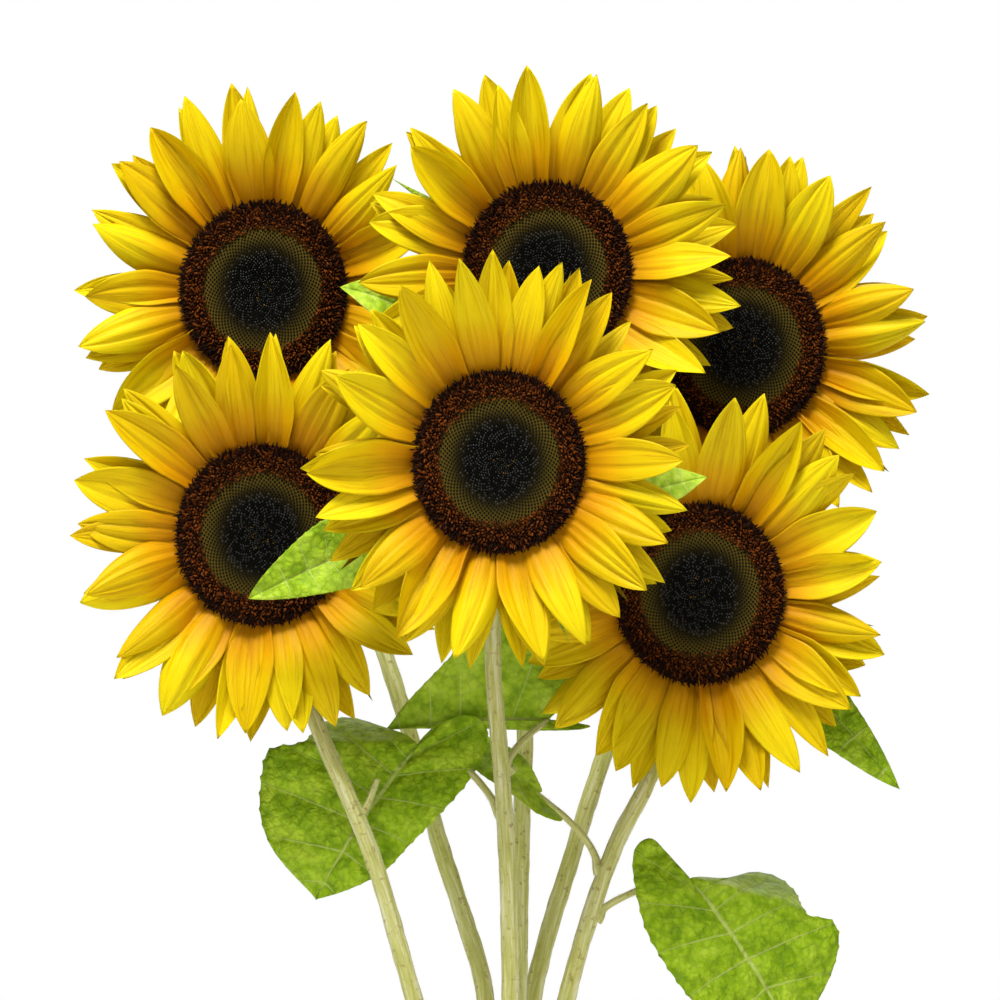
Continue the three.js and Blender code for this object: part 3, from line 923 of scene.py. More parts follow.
@dataclass
class SeedDisc:
    """The disc of one head: a domed floor, close-set black buds in spirals, and a ring of open brown florets.

    Bud number n stands at radius 0.35 n^0.62 mm and florets at 0.525 s n^0.5, each turned by the golden angle
    from the one before, so the buds are smallest in the middle.
    """

    head: HeadFrame
    rng: np.random.Generator
    bud_scale: float = 0.35
    bud_power: float = 0.62
    bud_reach: float = 33.0
    slate_reach: float = 21.0
    gold_reach: float = 8.0
    floret_spacing: float = 1.42
    floret_start: float = 29.0
    ring_start: float = 30.6
    ring_end: float = 44.2
    profile_radius: tuple[float, ...] = (0, 6, 14, 24, 31, 37, 42, 45)
    profile_height: tuple[float, ...] = (7.8, 7.9, 8.6, 9.5, 9.2, 8.4, 6.8, 4.4)
    back_radius: tuple[float, ...] = (0.4, 34, 40, 44.6)
    back_height: tuple[float, ...] = (-1.4, -1.4, 2.0, 2.7)
    floor_rings: int = 42
    floor_sides: int = 72

    def floor_height(self, radius: Array) -> Array:
        """Height of the domed floor at a distance from the axis, in millimetres."""
        return np.interp(radius, self.profile_radius, self.profile_height)

    def ring_edge(self, turn: Array) -> Array:
        """Inner radius of the floret ring, which wanders a little, in millimetres."""
        return self.ring_start + 0.7 * np.sin(2 * turn + 1) + 0.45 * np.sin(5 * turn)

    def build(self) -> None:
        """Makes floor, buds and florets, each kind as a piece of its own."""
        key = self.head.key
        floor, buds, florets = MeshStock(), MeshStock(), MeshStock()
        self._floor(floor)
        self._buds(buds)
        self._florets(florets)
        place_piece(floor.build(f"disc_floor_{key}", Look.DISC_FLOOR), "disc", f"disc_{key}")
        place_piece(buds.build(f"seed_buds_{key}", Look.BLACK_BUD, Look.SLATE_BUD, Look.GOLD_BUD), "disc")
        browns = (Look.BROWN_FLORET, Look.RUST_FLORET, Look.DARK_FLORET, Look.ANTHER)
        place_piece(florets.build(f"florets_{key}", *browns), "disc")

    def _floor(self, stock: MeshStock) -> None:
        """Turns the dome's profile, closed by a shallow back, about the axis.

        Args:
            stock: where the faces go.
        """
        rim = self.profile_radius[-1]
        front = np.linspace(rim, self.back_radius[0], self.floor_rings)
        radius = np.concatenate([self.back_radius, front])
        height = np.concatenate([self.back_height, self.floor_height(front)])
        points, faces = self.head.revolve(radius, height, self.floor_sides)
        share = np.concatenate([np.repeat(radius / rim, self.floor_sides), [0, 0]])
        stock.add(points, faces, tags=stacked(share, 0.0, 0.0, 0.0)[None])

    def _buds(self, stock: MeshStock) -> None:
        """Sets low domes on the spiral: slate, narrow and jostling in the middle, black and even further out.

        Args:
            stock: where the faces go.
        """
        rng = self.rng
        number = np.arange(2, int((self.bud_reach / self.bud_scale) ** (1 / self.bud_power)))
        radius, turn = self.bud_scale * number**self.bud_power, number * GOLDEN_ANGLE
        kept = radius < self.ring_edge(turn) + 1.2
        radius, turn = radius[kept], turn[kept]
        n, sides = len(radius), 6
        within = (radius / self.bud_scale) ** (1 / self.bud_power)
        spacing = np.sqrt(FULL_TURN * self.bud_power * radius**2 / within / CLOSE_PACKING)
        middle = 1 - ease(15, 22, radius)
        long = spacing * (0.41 + 0.16 * middle * rng.uniform(-0.6, 1.2, n))
        wide = spacing * (0.41 - 0.07 * middle * rng.uniform(0, 1, n))
        tall = 0.45 + middle * rng.uniform(0.0, 0.9, n)
        facing = 0.9 * middle + middle * rng.normal(0, 0.7, n)
        a = circle(sides)
        girth, level = np.array([1.0, 0.62])[:, None], np.array([-0.5, 0.8])
        local = stacked(girth * np.cos(a), girth * np.sin(a), level[:, None])
        shape = local[None] * stacked(long, wide, tall)[:, None, None]
        shape = turned(shape * np.array([1, -1, 1]), facing)
        shape = shape + stacked(radius, 0.0, self.floor_height(radius))[:, None, None]
        shape = turned(shape * np.array([1, -1, 1]), turn)
        points, faces = closed_tube(self.head.place(shape))
        draw = rng.uniform(0, 1, n)
        black, slate, gold = range(3)
        slot = np.where((draw < 0.55) & (radius < self.slate_reach), slate, black)
        slot = np.where((radius < self.gold_reach) & (draw > 0.95), gold, slot)[:, None]
        stock.add(points, faces, [slot] * 3)

    def _florets(self, stock: MeshStock) -> None:
        """Sets bent spikes round the buds: short and blunt inside, long, sharp and leaning out at the rim.

        Args:
            stock: where the faces go.
        """
        rng = self.rng
        scale = SPIRAL_SCALE * self.floret_spacing
        number = np.arange(int((self.floret_start / scale) ** 2), int((self.ring_end / scale) ** 2))
        radius = scale * np.sqrt(number) + rng.normal(0, 0.12, len(number))
        turn = number * GOLDEN_ANGLE
        kept = radius > self.ring_edge(turn)
        radius, turn = radius[kept], turn[kept]
        n, sides, rings = len(radius), 4, 4
        outward = ease(33, 44, radius)
        tall = 2.0 + 2.1 * outward + rng.uniform(-0.5, 0.9, n)
        lean = 0.1 + 0.8 * outward**1.3 + rng.normal(0, 0.2, n)
        sway = rng.normal(0, 0.28, n)
        t = np.linspace(0, 1, rings)
        blunt = np.interp(t, [0, 0.5, 0.8, 1], [0.5, 0.62, 0.6, 0.3])
        sharp = np.interp(t, [0, 0.4, 0.75, 1], [0.6, 0.6, 0.34, 0.08])
        mix = ease(0.2, 0.8, outward + rng.normal(0, 0.2, n))[:, None]
        width = (blunt * (1 - mix) + sharp * mix) * rng.uniform(0.75, 1.15, n)[:, None]
        arc = lean[:, None] * (0.4 + 0.9 * t)
        out = np.cumsum(np.sin(arc), axis=1) / rings * tall[:, None] + radius[:, None]
        floor = self.floor_height(radius)[:, None] - 0.6
        rise = np.cumsum(np.cos(arc), axis=1) / rings * tall[:, None] + floor
        aside = (sway * tall)[:, None] * t**1.5
        a = circle(sides) + rng.uniform(0, FULL_TURN, n)[:, None, None]
        x = out[..., None] + width[..., None] * np.cos(a)
        y = aside[..., None] + width[..., None] * np.sin(a)
        local = stacked(x, -y, rise[..., None])
        points, faces = closed_tube(self.head.place(turned(local, turn)))
        dark_brown, anther = 2, 3
        kind = rng.choice(anther, n, p=[0.42, 0.34, 0.24])[:, None]
        tipped = (rng.uniform(0, 1, n) < 0.08 + 0.72 * ease(0.45, 1.0, outward))[:, None]
        band = np.repeat(np.arange(rings - 1), sides)[None]
        sides_slot = np.where((band >= 1) & tipped, anther, kind)
        stock.add(points, faces, [sides_slot, dark_brown, np.where(tipped, anther, kind)])


@dataclass
class BractCup:
    """The green cup behind one head, with two rows of long pointed bracts.

    A bract's half width falls from root to drawn-out tip as (1 - u^1.4)^1.3 (0.75 + 0.6 u).
    """

    head: HeadFrame
    rng: np.random.Generator
    count: int = 26
    sheet: Blades = Blades(12, 7)
    profile_radius: tuple[float, ...] = (0.3, 5.5, 7.5, 12, 22, 32, 38, 40, 38, 0.3)
    profile_height: tuple[float, ...] = (-26.5, -26.5, -25.5, -22, -17, -12, -7.5, -3.5, -1.6, -1.6)
    cup_sides: int = 48
    seat_radius: float = 24.0
    length: float = 44.0
    outer_extra: float = 6.0
    long_extra: float = 16.0
    long_share: float = 0.12
    thickness: float = 0.6

    def build(self) -> None:
        """Makes the cup, and the bracts as a piece of their own."""
        key = self.head.key
        cup, bracts = MeshStock(), MeshStock()
        self._cup(cup)
        self._bracts(bracts)
        place_piece(cup.build(f"flower_cup_{key}", Look.BRACT), "bract", f"bracts_{key}")
        place_piece(bracts.build(f"green_bracts_{key}", Look.BRACT), "bract")

    def _cup(self, stock: MeshStock) -> None:
        """Turns the cup's profile about the axis, in one mid green.

        Args:
            stock: where the faces go.
        """
        points, faces = self.head.revolve(self.profile_radius, self.profile_height, self.cup_sides)
        stock.add(points, faces, tags=np.array([[[0.0, 0.85, 0.4, 1.0]]]))

    def _bracts(self, stock: MeshStock) -> None:
        """Lays the bracts out over the cup.

        Args:
            stock: where the faces go.
        """
        rng, n = self.rng, self.count
        outer = np.arange(n) % 2
        angle = (np.arange(n) + rng.uniform(-0.2, 0.2, n)) / n * FULL_TURN
        length = (self.length + self.outer_extra * outer) * rng.uniform(0.9, 1.12, n)
        overlong = rng.uniform(0, 1, n) < self.long_share
        length = np.where(overlong, length + self.long_extra, length)[:, None, None]
        width = rng.uniform(11, 14, n)[:, None, None]
        u, v = self.sheet.along, self.sheet.across
        half = width / 2 * np.maximum(np.maximum(1 - u**1.4, 0) ** 1.3 * (0.75 + 0.6 * u), 0.02)
        out = self.seat_radius + length * u
        over_cup = np.interp(out, [22, 32, 38, 44, 80], [-17.6, -13.4, -9.6, -6.5, -4.0])
        forward = over_cup - 1.2 * outer[:, None, None] + rng.uniform(-3.5, 1.0, n)[:, None, None] * u**2
        forward = forward - 0.25 * half * v**2
        aside = half * v + rng.normal(0, 3.0, n)[:, None, None] * u**2
        blade = stacked(out, aside, forward)
        back = blade - np.array([0, 0, self.thickness])
        points = self.sheet.wrap(self.head.place(turned(blade, angle)), self.head.place(turned(back, angle)))
        stock.add(points, [self.sheet.faces()], tags=self.sheet.tags(rng.uniform(0.1, 0.7, n)))


# ---------------------------------------------------------------- stems


def add_limb(stock: MeshStock, path: Array, radius: Array, rng: np.random.Generator, ribs: int, sides: int,
             ribbing: float = 0.025, bumps: float = 0.05) -> None:
    """Carries a faintly ribbed, knobbly round section along a path.

    The section's radius is r (1 + ribbing cos(ribs a) + bumps times slow sines of turn and length).

    Args:
        stock: where the faces go.
        path: (n, 3) points in metres.
        radius: (n,) metres.
        rng: source of chance.
        ribs: ribs round the section.
        sides: points round the section.
        ribbing: height of a rib as a share of the radius.
        bumps: height of the knobs as a share of the radius.
    """
    _, side, normal = carried_frames(path)
    a = circle(sides)
    run = run_along(path)[:, None] / MM
    p = rng.uniform(0, FULL_TURN, 4)
    knobs = np.sin(run / 4.1 + 2 * np.sin(a + p[0])) * np.sin(run / 9.3 + 3 * a + p[1])
    knobs = knobs + 0.6 * np.sin(run / 2.3 + 5 * a + p[2]) * np.sin(run / 13 + p[3])
    r = radius[:, None] * (1 + ribbing * np.cos(ribs * a) + bumps * knobs)
    x, y = (r * np.cos(a))[..., None], (r * np.sin(a))[..., None]
    rings = path[:, None] + side[:, None] * x + normal[:, None] * y
    points, faces = closed_tube(rings[None])
    tags = stacked(a / FULL_TURN, run / STREAK_MM, 0.0, 1.0).reshape(-1, 4)
    stock.add(points, faces, tags=np.vstack([tags, tags[[0, -1]]])[None])


def add_hairs(stock: MeshStock, path: Array, radius: Array, count: int, rng: np.random.Generator) -> None:
    """Stands short stiff hairs on a stem, as thin three-sided spikes.

    Args:
        stock: where the faces go.
        path: (n, 3) points in metres.
        radius: (n,) metres.
        count: how many hairs.
        rng: source of chance.
    """
    tangent, side, normal = carried_frames(path)
    at = rng.uniform(1, len(path) - 2, count)
    low = at.astype(int)
    share = (at - low)[:, None]
    turn = rng.uniform(0, FULL_TURN, count)[:, None]
    centre = path[low] * (1 - share) + path[low + 1] * share
    out = side[low] * np.cos(turn) + normal[low] * np.sin(turn)
    around = np.cross(tangent[low], out)
    root = centre + out * radius[low][:, None] * 0.92
    lean = out + tangent[low] * rng.normal(0.1, 0.4, (count, 1)) + around * rng.normal(0, 0.35, (count, 1))
    tip = root + lean * rng.uniform(0.7, 1.6, (count, 1)) * MM
    foot = 0.055 * MM
    along, near = tangent[low] * foot, root - around * foot * 0.6
    points = np.stack([root + around * foot, near + along, near - along, tip], 1)
    stock.add(points, [np.array([[0, 1, 3], [1, 2, 3], [2, 0, 3], [0, 2, 1]])])


def build_stalk(node: str, path: Array, radius: Array, hair_count: int, rng: np.random.Generator,
                ribs: int = 5, sides: int = 16) -> None:
    """Makes a stem or leaf stalk, and its hairs as a piece of their own.

    Args:
        node: the node that it replaces.
        path: (n, 3) points in metres.
        radius: (n,) metres.
        hair_count: how many hairs.
        rng: source of chance.
        ribs: how many low ribs run along it.
        sides: how many faces round it.
    """
    limb, hairs = MeshStock(), MeshStock()
    add_limb(limb, path, radius, rng, ribs, sides)
    add_hairs(hairs, path, radius, hair_count, rng)
    place_piece(limb.build(f"green_{node}", Look.STEM), "stem", node)
    place_piece(hairs.build(f"hairs_{node}", Look.HAIR), "stem")


@dataclass
class FlowerStem:
    """One flowering stem, from inside the crown to the back of its head, with small leaves under the head.

    Its root is buried in the crown, at the inset share of its distance from the axis. The first ring is how
    wide its lowest end is, in fork radii.
    """

    head: HeadFrame
    rng: np.random.Generator
    fork_radius: float = 4.75
    neck_radius: float = 3.9
    socket_radius: float = 6.6
    first_ring: float = 2.6
    inset: float = 0.72
    buried: float = 42.0
    hair_count: int = 3200
    small_leaves: int = 4
    sheet: Blades = Blades(14, 9)

    def build(self) -> Array:
        """Makes the stem, its hairs and its small leaves, and gives the stem's path."""
        node = f"stem_{self.head.key}"
        points, _ = node_mesh(node)
        line = limb_spine(node, points[np.argmin(points[:, 2])], self.first_ring * self.fork_radius * MM)
        root = line[0] * np.array([self.inset, self.inset, 1.0]) - np.array([0, 0, self.buried * MM])
        path = smooth_path(np.vstack([root, line]), 150)
        share = np.linspace(0, 1, len(path))
        radius = self.fork_radius + (self.neck_radius - self.fork_radius) * np.minimum(share / 0.8, 1)
        radius = (radius + (self.socket_radius - self.neck_radius) * ease(0.86, 1.0, share)) * MM
        build_stalk(node, path, radius, self.hair_count, self.rng, ribs=9, sides=30)
        stock = MeshStock()
        self._small_leaves(stock, path, radius)
        place_piece(stock.build(f"neck_leaves_{self.head.key}", Look.BRACT), "leaf")
        return path

    def _small_leaves(self, stock: MeshStock, path: Array, radius: Array) -> None:
        """Adds pointed leaves that clasp the neck; half width is w sin(pi u^0.8), bent away from the stem.

        Args:
            stock: where the faces go.
            path: (n, 3) points in metres.
            radius: (n,) metres.
        """
        rng, n = self.rng, self.small_leaves
        tangent, side, normal = carried_frames(path)
        at = (len(path) * rng.uniform(0.84, 0.93, n)).astype(int)
        turn = ((np.arange(n) + rng.uniform(-0.25, 0.25, n)) / n * FULL_TURN)[:, None]
        out = side[at] * np.cos(turn) + normal[at] * np.sin(turn)
        around = np.cross(tangent[at], out)
        u, v = self.sheet.along, self.sheet.across
        length = rng.uniform(17, 27, n)[:, None, None] * MM
        fullness = np.maximum(np.sin(np.pi * np.minimum(u, 0.995) ** 0.8), 0.04)
        half = rng.uniform(3.5, 5.5, n)[:, None, None] * MM * fullness
        away = (0.5 * length * u**1.7 + 0.2 * half * v**2)[..., None] * out[:, None, None]
        up = (length * u)[..., None] * tangent[at][:, None, None]
        root = (path[at] + out * radius[at][:, None] * 0.7)[:, None, None]
        blade = root + up + away + (half * v)[..., None] * around[:, None, None]
        inner = blade - out[:, None, None] * 0.5 * MM
        stock.add(self.sheet.wrap(inner, blade), [self.sheet.faces()], tags=self.sheet.tags(np.full(n, 0.45)))


@dataclass
class Crown:
    """The main stem: a flared, ribbed foot that rises to the parting of the flowering stems.

    Its surface moves along its normals by 0.45 sin(11 a + 2.5 sin(z / 9 mm)) mm with finer ripples on top.
    """

    voxel: float = 1.3
    rib_height: float = 0.45
    fine_rib_height: float = 0.25
    ring_height: float = 0.3

    def build(self) -> None:
        """Rounds a copy of the frame's solid and raises its ribs and knots."""
        piece = add_object("crown", frame["nodes"]["main_stem"].data.copy())
        remesh = piece.modifiers.new("even", "REMESH")
        remesh.mode = "VOXEL"
        remesh.voxel_size = self.voxel * MM
        smooth = piece.modifiers.new("round", "SMOOTH")
        smooth.factor = 0.6
        smooth.iterations = 8
        rounded = bpy.data.meshes.new_from_object(piece.evaluated_get(bpy.context.evaluated_depsgraph_get()))
        piece.modifiers.clear()
        piece.data = rounded
        count = len(rounded.vertices)
        points, normals = np.empty(count * 3), np.empty(count * 3)
        rounded.vertices.foreach_get("co", points)
        rounded.vertices.foreach_get("normal", normals)
        points, normals = points.reshape(-1, 3), normals.reshape(-1, 3)
        turn, height = np.arctan2(points[:, 1], points[:, 0]), points[:, 2] / MM
        ribs = self.rib_height * np.sin(11 * turn + 2.5 * np.sin(height / 9))
        ribs = ribs + self.fine_rib_height * np.sin(23 * turn + height / 5)
        rings = self.ring_height * np.sin(height / 2.3 + 3 * np.sin(2 * turn))
        push = (ribs + rings) * ease(0.5, 6, height) * (1 - ease(62, 78, height))
        points = points + normals * push[:, None] * MM
        points[:, 2] = np.maximum(points[:, 2], 0)
        rounded.vertices.foreach_set("co", points.ravel())
        write_tags(rounded, stacked((turn / FULL_TURN) % 1, height / STREAK_MM, 0.0, 1.0))
        rounded.polygons.foreach_set("use_smooth", np.ones(len(rounded.polygons), bool))
        rounded.materials.clear()
        rounded.materials.append(Look.CROWN.material)
        rounded.update()
        place_piece(piece, "bark", "main_stem")


# ---------------------------------------------------------------- leaves


class LeafTone(Enum):
    """How light a leaf's green is, from 0 to 1."""

    DEEP = 0.05
    FRESH = 0.35
    PALE = 0.8
    LIME = 1.0


@dataclass(frozen=True)
class LeafSide:
    """Outline of half a blade: shares of its length ahead of the foot, and of its half width aside.

    It starts in the notch beside the foot, rounds the rear lobe and runs forward to the tip.
    """

    along: tuple[float, ...] = (0, -0.09, -0.17, -0.2, -0.14, 0.0, 0.2, 0.42, 0.64, 0.83, 0.94, 1)
    aside: tuple[float, ...] = (0, 0.12, 0.32, 0.58, 0.82, 0.97, 1.0, 0.87, 0.62, 0.34, 0.14, 0)

    def points(self, length: float, half: float, count: int) -> Array:
        """Gives the outline.

        Args:
            length: from foot to tip, in metres.
            half: half the width, in metres.
            count: how many points.

        Returns:
            (count, 2) ahead and aside.
        """
        knots = np.stack([np.array(self.along) * length, np.array(self.aside) * half], -1)
        return smooth_path(knots, count)


PLAIN_SIDE = LeafSide()
NARROW_SIDE = LeafSide(
    (0, -0.11, -0.22, -0.28, -0.29, -0.25, -0.15, -0.04, 0.1, 0.27, 0.45, 0.63, 0.76, 0.88, 1),
    (0, 0.02, 0.18, 0.36, 0.55, 0.71, 0.84, 0.92, 0.93, 0.88, 0.78, 0.68, 0.5, 0.28, 0))
STRAIGHT_LOBE_SIDE = LeafSide(
    (0, -0.16, -0.27, -0.3, -0.27, -0.17, -0.04, 0.1, 0.3, 0.5, 0.68, 0.82, 0.93, 1),
    (0, 0.02, 0.08, 0.26, 0.45, 0.64, 0.84, 1.0, 1.08, 1.05, 0.88, 0.6, 0.28, 0))
TAPER_SIDE = LeafSide(
    (0, -0.1, -0.2, -0.24, -0.15, 0.03, 0.2, 0.35, 0.5, 0.66, 0.85, 1),
    (0, 0.15, 0.35, 0.6, 0.85, 0.98, 1.0, 0.84, 0.6, 0.39, 0.18, 0))
PADDLE_LOBE_SIDE = LeafSide(
    (0, -0.12, -0.27, -0.38, -0.4, -0.3, -0.1, 0.12, 0.35, 0.6, 0.82, 1),
    (0, 0.03, 0.04, 0.14, 0.36, 0.58, 0.8, 0.97, 1.0, 0.8, 0.42, 0))
SLIM_SIDE = LeafSide(
    (0, -0.04, -0.05, 0.05, 0.2, 0.38, 0.55, 0.72, 0.88, 1),
    (0, 0.1, 0.3, 0.5, 0.72, 0.9, 0.9, 0.7, 0.36, 0))
ROLLED_SIDE = LeafSide(
    (0, -0.02, 0.0, 0.04, 0.18, 0.33, 0.45, 0.54, 0.75, 0.87, 0.94, 1),
    (0, 0.2, 0.48, 0.82, 0.88, 0.75, 0.91, 0.94, 0.78, 0.6, 0.38, 0))
LONG_ROLLED_SIDE = LeafSide(
    (0, 0.02, 0.09, 0.11, 0.2, 0.34, 0.48, 0.6, 0.7, 0.82, 0.93, 1),
    (0, 0.14, 0.4, 0.76, 0.92, 0.84, 0.62, 0.76, 0.73, 0.55, 0.28, 0))


@dataclass(frozen=True)
class LeafStyle:
    """What a leaf's place in the frame doesn't say: tone, folds, outline and relief.

    Right and left are as seen on the upper side, looking from foot to tip. A turn of (line, by) turns what
    lies behind a line through the foot, at that many degrees from the midrib, down and back by so many
    degrees. The fold is in degrees. Waving, blistering and dip, which is how far the petiole passes behind
    the blade, are in millimetres.
    """

    tone: LeafTone = LeafTone.DEEP
    fold: float = 14.0
    right: LeafSide = PLAIN_SIDE
    left: LeafSide = PLAIN_SIDE
    turn_right: tuple[float, float] = (0, 0)
    turn_left: tuple[float, float] = (0, 0)
    waving: float = 2.0
    blistering: float = 1.1
    dip: float = 0.0


LEAF_STYLES = {
    "front_left": LeafStyle(LeafTone.DEEP, 3, ROLLED_SIDE, NARROW_SIDE, turn_right=(55, 62),
                            waving=1.6, blistering=2.3, dip=7.0),
    "front_right": LeafStyle(LeafTone.DEEP, 3, STRAIGHT_LOBE_SIDE, LONG_ROLLED_SIDE, turn_left=(40, 62),
                             waving=1.6, blistering=2.3),
    "middle_upper": LeafStyle(LeafTone.FRESH, 36, TAPER_SIDE, TAPER_SIDE, waving=1.5),
    "middle_lower": LeafStyle(LeafTone.PALE, 12, SLIM_SIDE, PADDLE_LOBE_SIDE, waving=0.8),
    "centre_left": LeafStyle(LeafTone.FRESH, 20, waving=1.2),
    "centre_right": LeafStyle(LeafTone.PALE, 20, waving=0.8, blistering=0.6),
    "upper_left": LeafStyle(LeafTone.LIME, 20, waving=0.8, blistering=0.6),
}


@dataclass
class Leaf:
    """One leaf: its blade and the petiole that carries it.

    The blade is ruled from its midrib to its outline, arched as 4 h u (1 - u), folded along the midrib,
    turned back at the rear, waved at its toothed edge, and blistered between its side veins.
    """

    name: str
    rng: np.random.Generator
    style: LeafStyle
    sheet: Blades = Blades(96, 41)
    thickness: float = 0.4
    side_veins: int = 7
    teeth: int = 24
    tooth_depth: float = 0.03
    arch: float = 0.08
    lift: float = 0.8
    petiole_radius: float = 1.35
    petiole_taper: float = 0.6
    petiole_flare: float = 1.3
    hair_count: int = 420

    def build(self, stems: Array) -> None:
        """Makes blade and petiole.

        Args:
            stems: points along every stem, (n, 3).
        """
        line = stalk_spine(f"petiole_{self.name}", stems)
        self._petiole(line, self._blade(line[0]))

    def _petiole(self, line: Array, normal: Array) -> None:
        """Makes the petiole, flared where it leaves the stem and passing behind the blade's rear lobes.

        Args:
            line: its middle line from the blade to the stem, (n, 3).
            normal: the way the blade's upper side faces.
        """
        node = f"petiole_{self.name}"
        away = np.linalg.norm(line - line[0], axis=1) / MM
        dip = ease(0, 9, away) * (1 - ease(30, 46, away)) * (1 - ease(0.5, 1, away / away.max()))
        line = line - normal * dip[:, None] * self.style.dip * MM
        beyond = line[-1] + unit(line[-1] - line[-2]) * 3 * MM
        path = smooth_path(np.vstack([line, beyond]), 56)
        share = np.linspace(0, 1, len(path))
        radius = self.petiole_radius + self.petiole_taper * share
        radius = (radius + self.petiole_flare * ease(0.82, 1.0, share)) * MM
        build_stalk(node, path, radius, self.hair_count, self.rng)

    def _blade(self, foot: Array) -> Array:
        """Makes the blade.

        Args:
            foot: where the petiole meets it.

        Returns:
            The way its upper side faces.
        """
        points, _ = node_mesh(f"leaf_{self.name}")
        tip = points[np.argmax(np.linalg.norm(points - foot, axis=1))]
        length = np.linalg.norm(tip - foot)
        along = (tip - foot) / length
        spread = points - points.mean(axis=0)
        spread = spread - np.outer(spread @ along, along)
        normal = unit(np.cross(np.linalg.eigh(spread.T @ spread)[1][:, 2], along))
        normal = normal * np.sign(normal @ np.array([0.0, -0.5, 1.0]))
        right = unit(np.cross(along, normal))
        offset = (points - foot) @ right
        cosine = math.cos(math.radians(self.style.fold))
        local, rolled = self._surface(length, offset.max() / cosine, -offset.min() / cosine)
        top = foot + normal * self.lift * MM + local @ np.stack([along, right, normal])
        v = self.sheet.across
        under = top - normal * (self.thickness * MM * (1 - 0.7 * np.abs(v) ** 6))[..., None]
        # Painted light: the turned-back part is made up to 0.95 paler, standing in for the brighter light on
        # its upturned face.
        tone = np.array([self.style.tone.value]) + 0.95 * rolled
        tags = self.sheet.tags(tone, np.linspace(0, 1, self.sheet.rows)[None, :, None])
        stock = MeshStock()
        points, corners = self.sheet.wrap(top, under), self.sheet.corners(1, 1)
        stock.add(points, [self.sheet.faces()], tags=tags, corners=corners)
        piece = stock.build(f"blade_{self.name}", Look.LEAF)
        place_piece(piece, "leaf", f"leaf_{self.name}")
        return normal

    def _surface(self, length: float, right_half: float, left_half: float) -> tuple[Array, Array]:
        """Works out the upper side in the blade's own frame.

        Args:
            length: from foot to tip, in metres.
            right_half: half width on the right, in metres.
            left_half: half width on the left, in metres.

        Returns:
            (1, rows, columns, 3) ahead, to the right, and up; and (1, rows, columns), which is 1 where the
            blade is turned back.
        """
        style, rng, rows = self.style, self.rng, self.sheet.rows
        v = self.sheet.across[0]
        u = np.linspace(0, 1, rows)[:, None]
        side = np.abs(v)
        rib = length * u**1.55
        sides = ((style.right, right_half), (style.left, left_half))
        outlines = [outline.points(length, half, rows) for outline, half in sides]
        edge = np.where((v > 0)[..., None], outlines[0][:, None], outlines[1][:, None])
        saw = np.maximum(0, 1 - 2.2 * ((u * self.teeth) % 1)) * (u < 0.97) * (u > 0.1)
        tooth = 1 + self.tooth_depth * saw * ease(0.9, 1.0, side)
        ahead = rib * (1 - side) + edge[..., 0] * side
        ahead = ahead - 0.08 * length * side * (1 - side) * (1 - u) * np.sqrt(u)
        aside = edge[..., 1] * side * tooth
        phase = rng.uniform(0, FULL_TURN, 4)
        vein = np.abs(np.cos(np.pi * self.side_veins * u))
        pillow = vein**0.8 * ease(0.0, 0.15, side) * (1 - ease(0.8, 1.0, side)) * np.sin(np.pi * u) ** 0.3
        across = ahead / MM / 5.5 + 1.3 * np.sin(aside / MM / 7 + phase[0])
        down = aside / MM / 4.6 + 1.3 * np.sin(ahead / MM / 8 + phase[1])
        blister = np.sin(across) * np.sin(down) * (1 - side**4)
        wave = np.sin(FULL_TURN * 2.3 * u + phase[2] + v) * side**2.5 * style.waving
        slope = math.radians(style.fold)
        forward = np.clip(ahead / length, -0.2, 1)
        up = 4 * self.arch * length * forward * (1 - forward)
        up = up + aside * math.sin(slope) + (style.blistering * (pillow + 0.35 * blister) + wave) * MM
        up = up - 0.9 * MM * np.exp(-((v / 0.035) ** 2)) * (1 - u)
        local = np.stack([ahead, aside * math.cos(slope), up], -1)
        rolled = np.zeros(local.shape[:2])
        for sign, (start, turn) in ((1, style.turn_right), (-1, style.turn_left)):
            if turn:
                bent, past = self._turn_back(local, start, turn)
                local = np.where((v * sign > 0)[..., None], bent, local)
                rolled = np.where(v * sign > 0, ease(0, 3 * MM, past), rolled)
        local[..., 1] *= np.sign(v)
        return local[None], rolled[None]

    @staticmethod
    def _turn_back(local: Array, start: float, turn: float) -> tuple[Array, Array]:
        """Rolls what lies behind a line through the foot down and back, over a rounded edge.

        Args:
            local: (rows, columns, 3) ahead, aside and up.
            start: the line's angle from the midrib, in degrees.
            turn: how far it is turned, in degrees.

        Returns:
            The rolled points, and how far past the line each lay.
        """
        angle, bend, radius = math.radians(start), math.radians(turn), FOLD_RADIUS_MM * MM
        away = np.array([-math.sin(angle), math.cos(angle), 0.0])
        past = np.maximum(local @ away, 0)
        rolled = np.minimum(past, radius * bend)
        rest = past - rolled
        shift = radius * np.sin(rolled / radius) + rest * math.cos(bend) - past
        drop = radius * (1 - np.cos(rolled / radius)) + rest * math.sin(bend)
        return local + shift[..., None] * away - drop[..., None] * np.array([0.0, 0.0, 1.0]), past


def build_stub(stems: Array, rng: np.random.Generator) -> None:
    """Makes the leaf stalk that has lost its blade.

    Args:
        stems: points along every stem, (n, 3).
        rng: source of chance.
    """
    line = stalk_spine("petiole_stub", stems)
    joint = stems[np.argmin(np.linalg.norm(stems - line[-1], axis=1))]
    lower = joint - np.array([[0, 0, 6], [0, 0, 20]]) * MM
    below = stems[np.argmin(np.linalg.norm(stems - lower[:, None], axis=2), axis=1)]
    between = (line[0] + below[0]) / 2 + 1.2 * MM * unit(line[0] - joint)
    path = smooth_path(np.vstack([line[0], between, below]), 40)
    share = np.linspace(0, 1, len(path))
    radius = (1.3 + 1.6 * share) * MM
    build_stalk("petiole_stub", path, radius, 150, rng)


# ---------------------------------------------------------------- studio


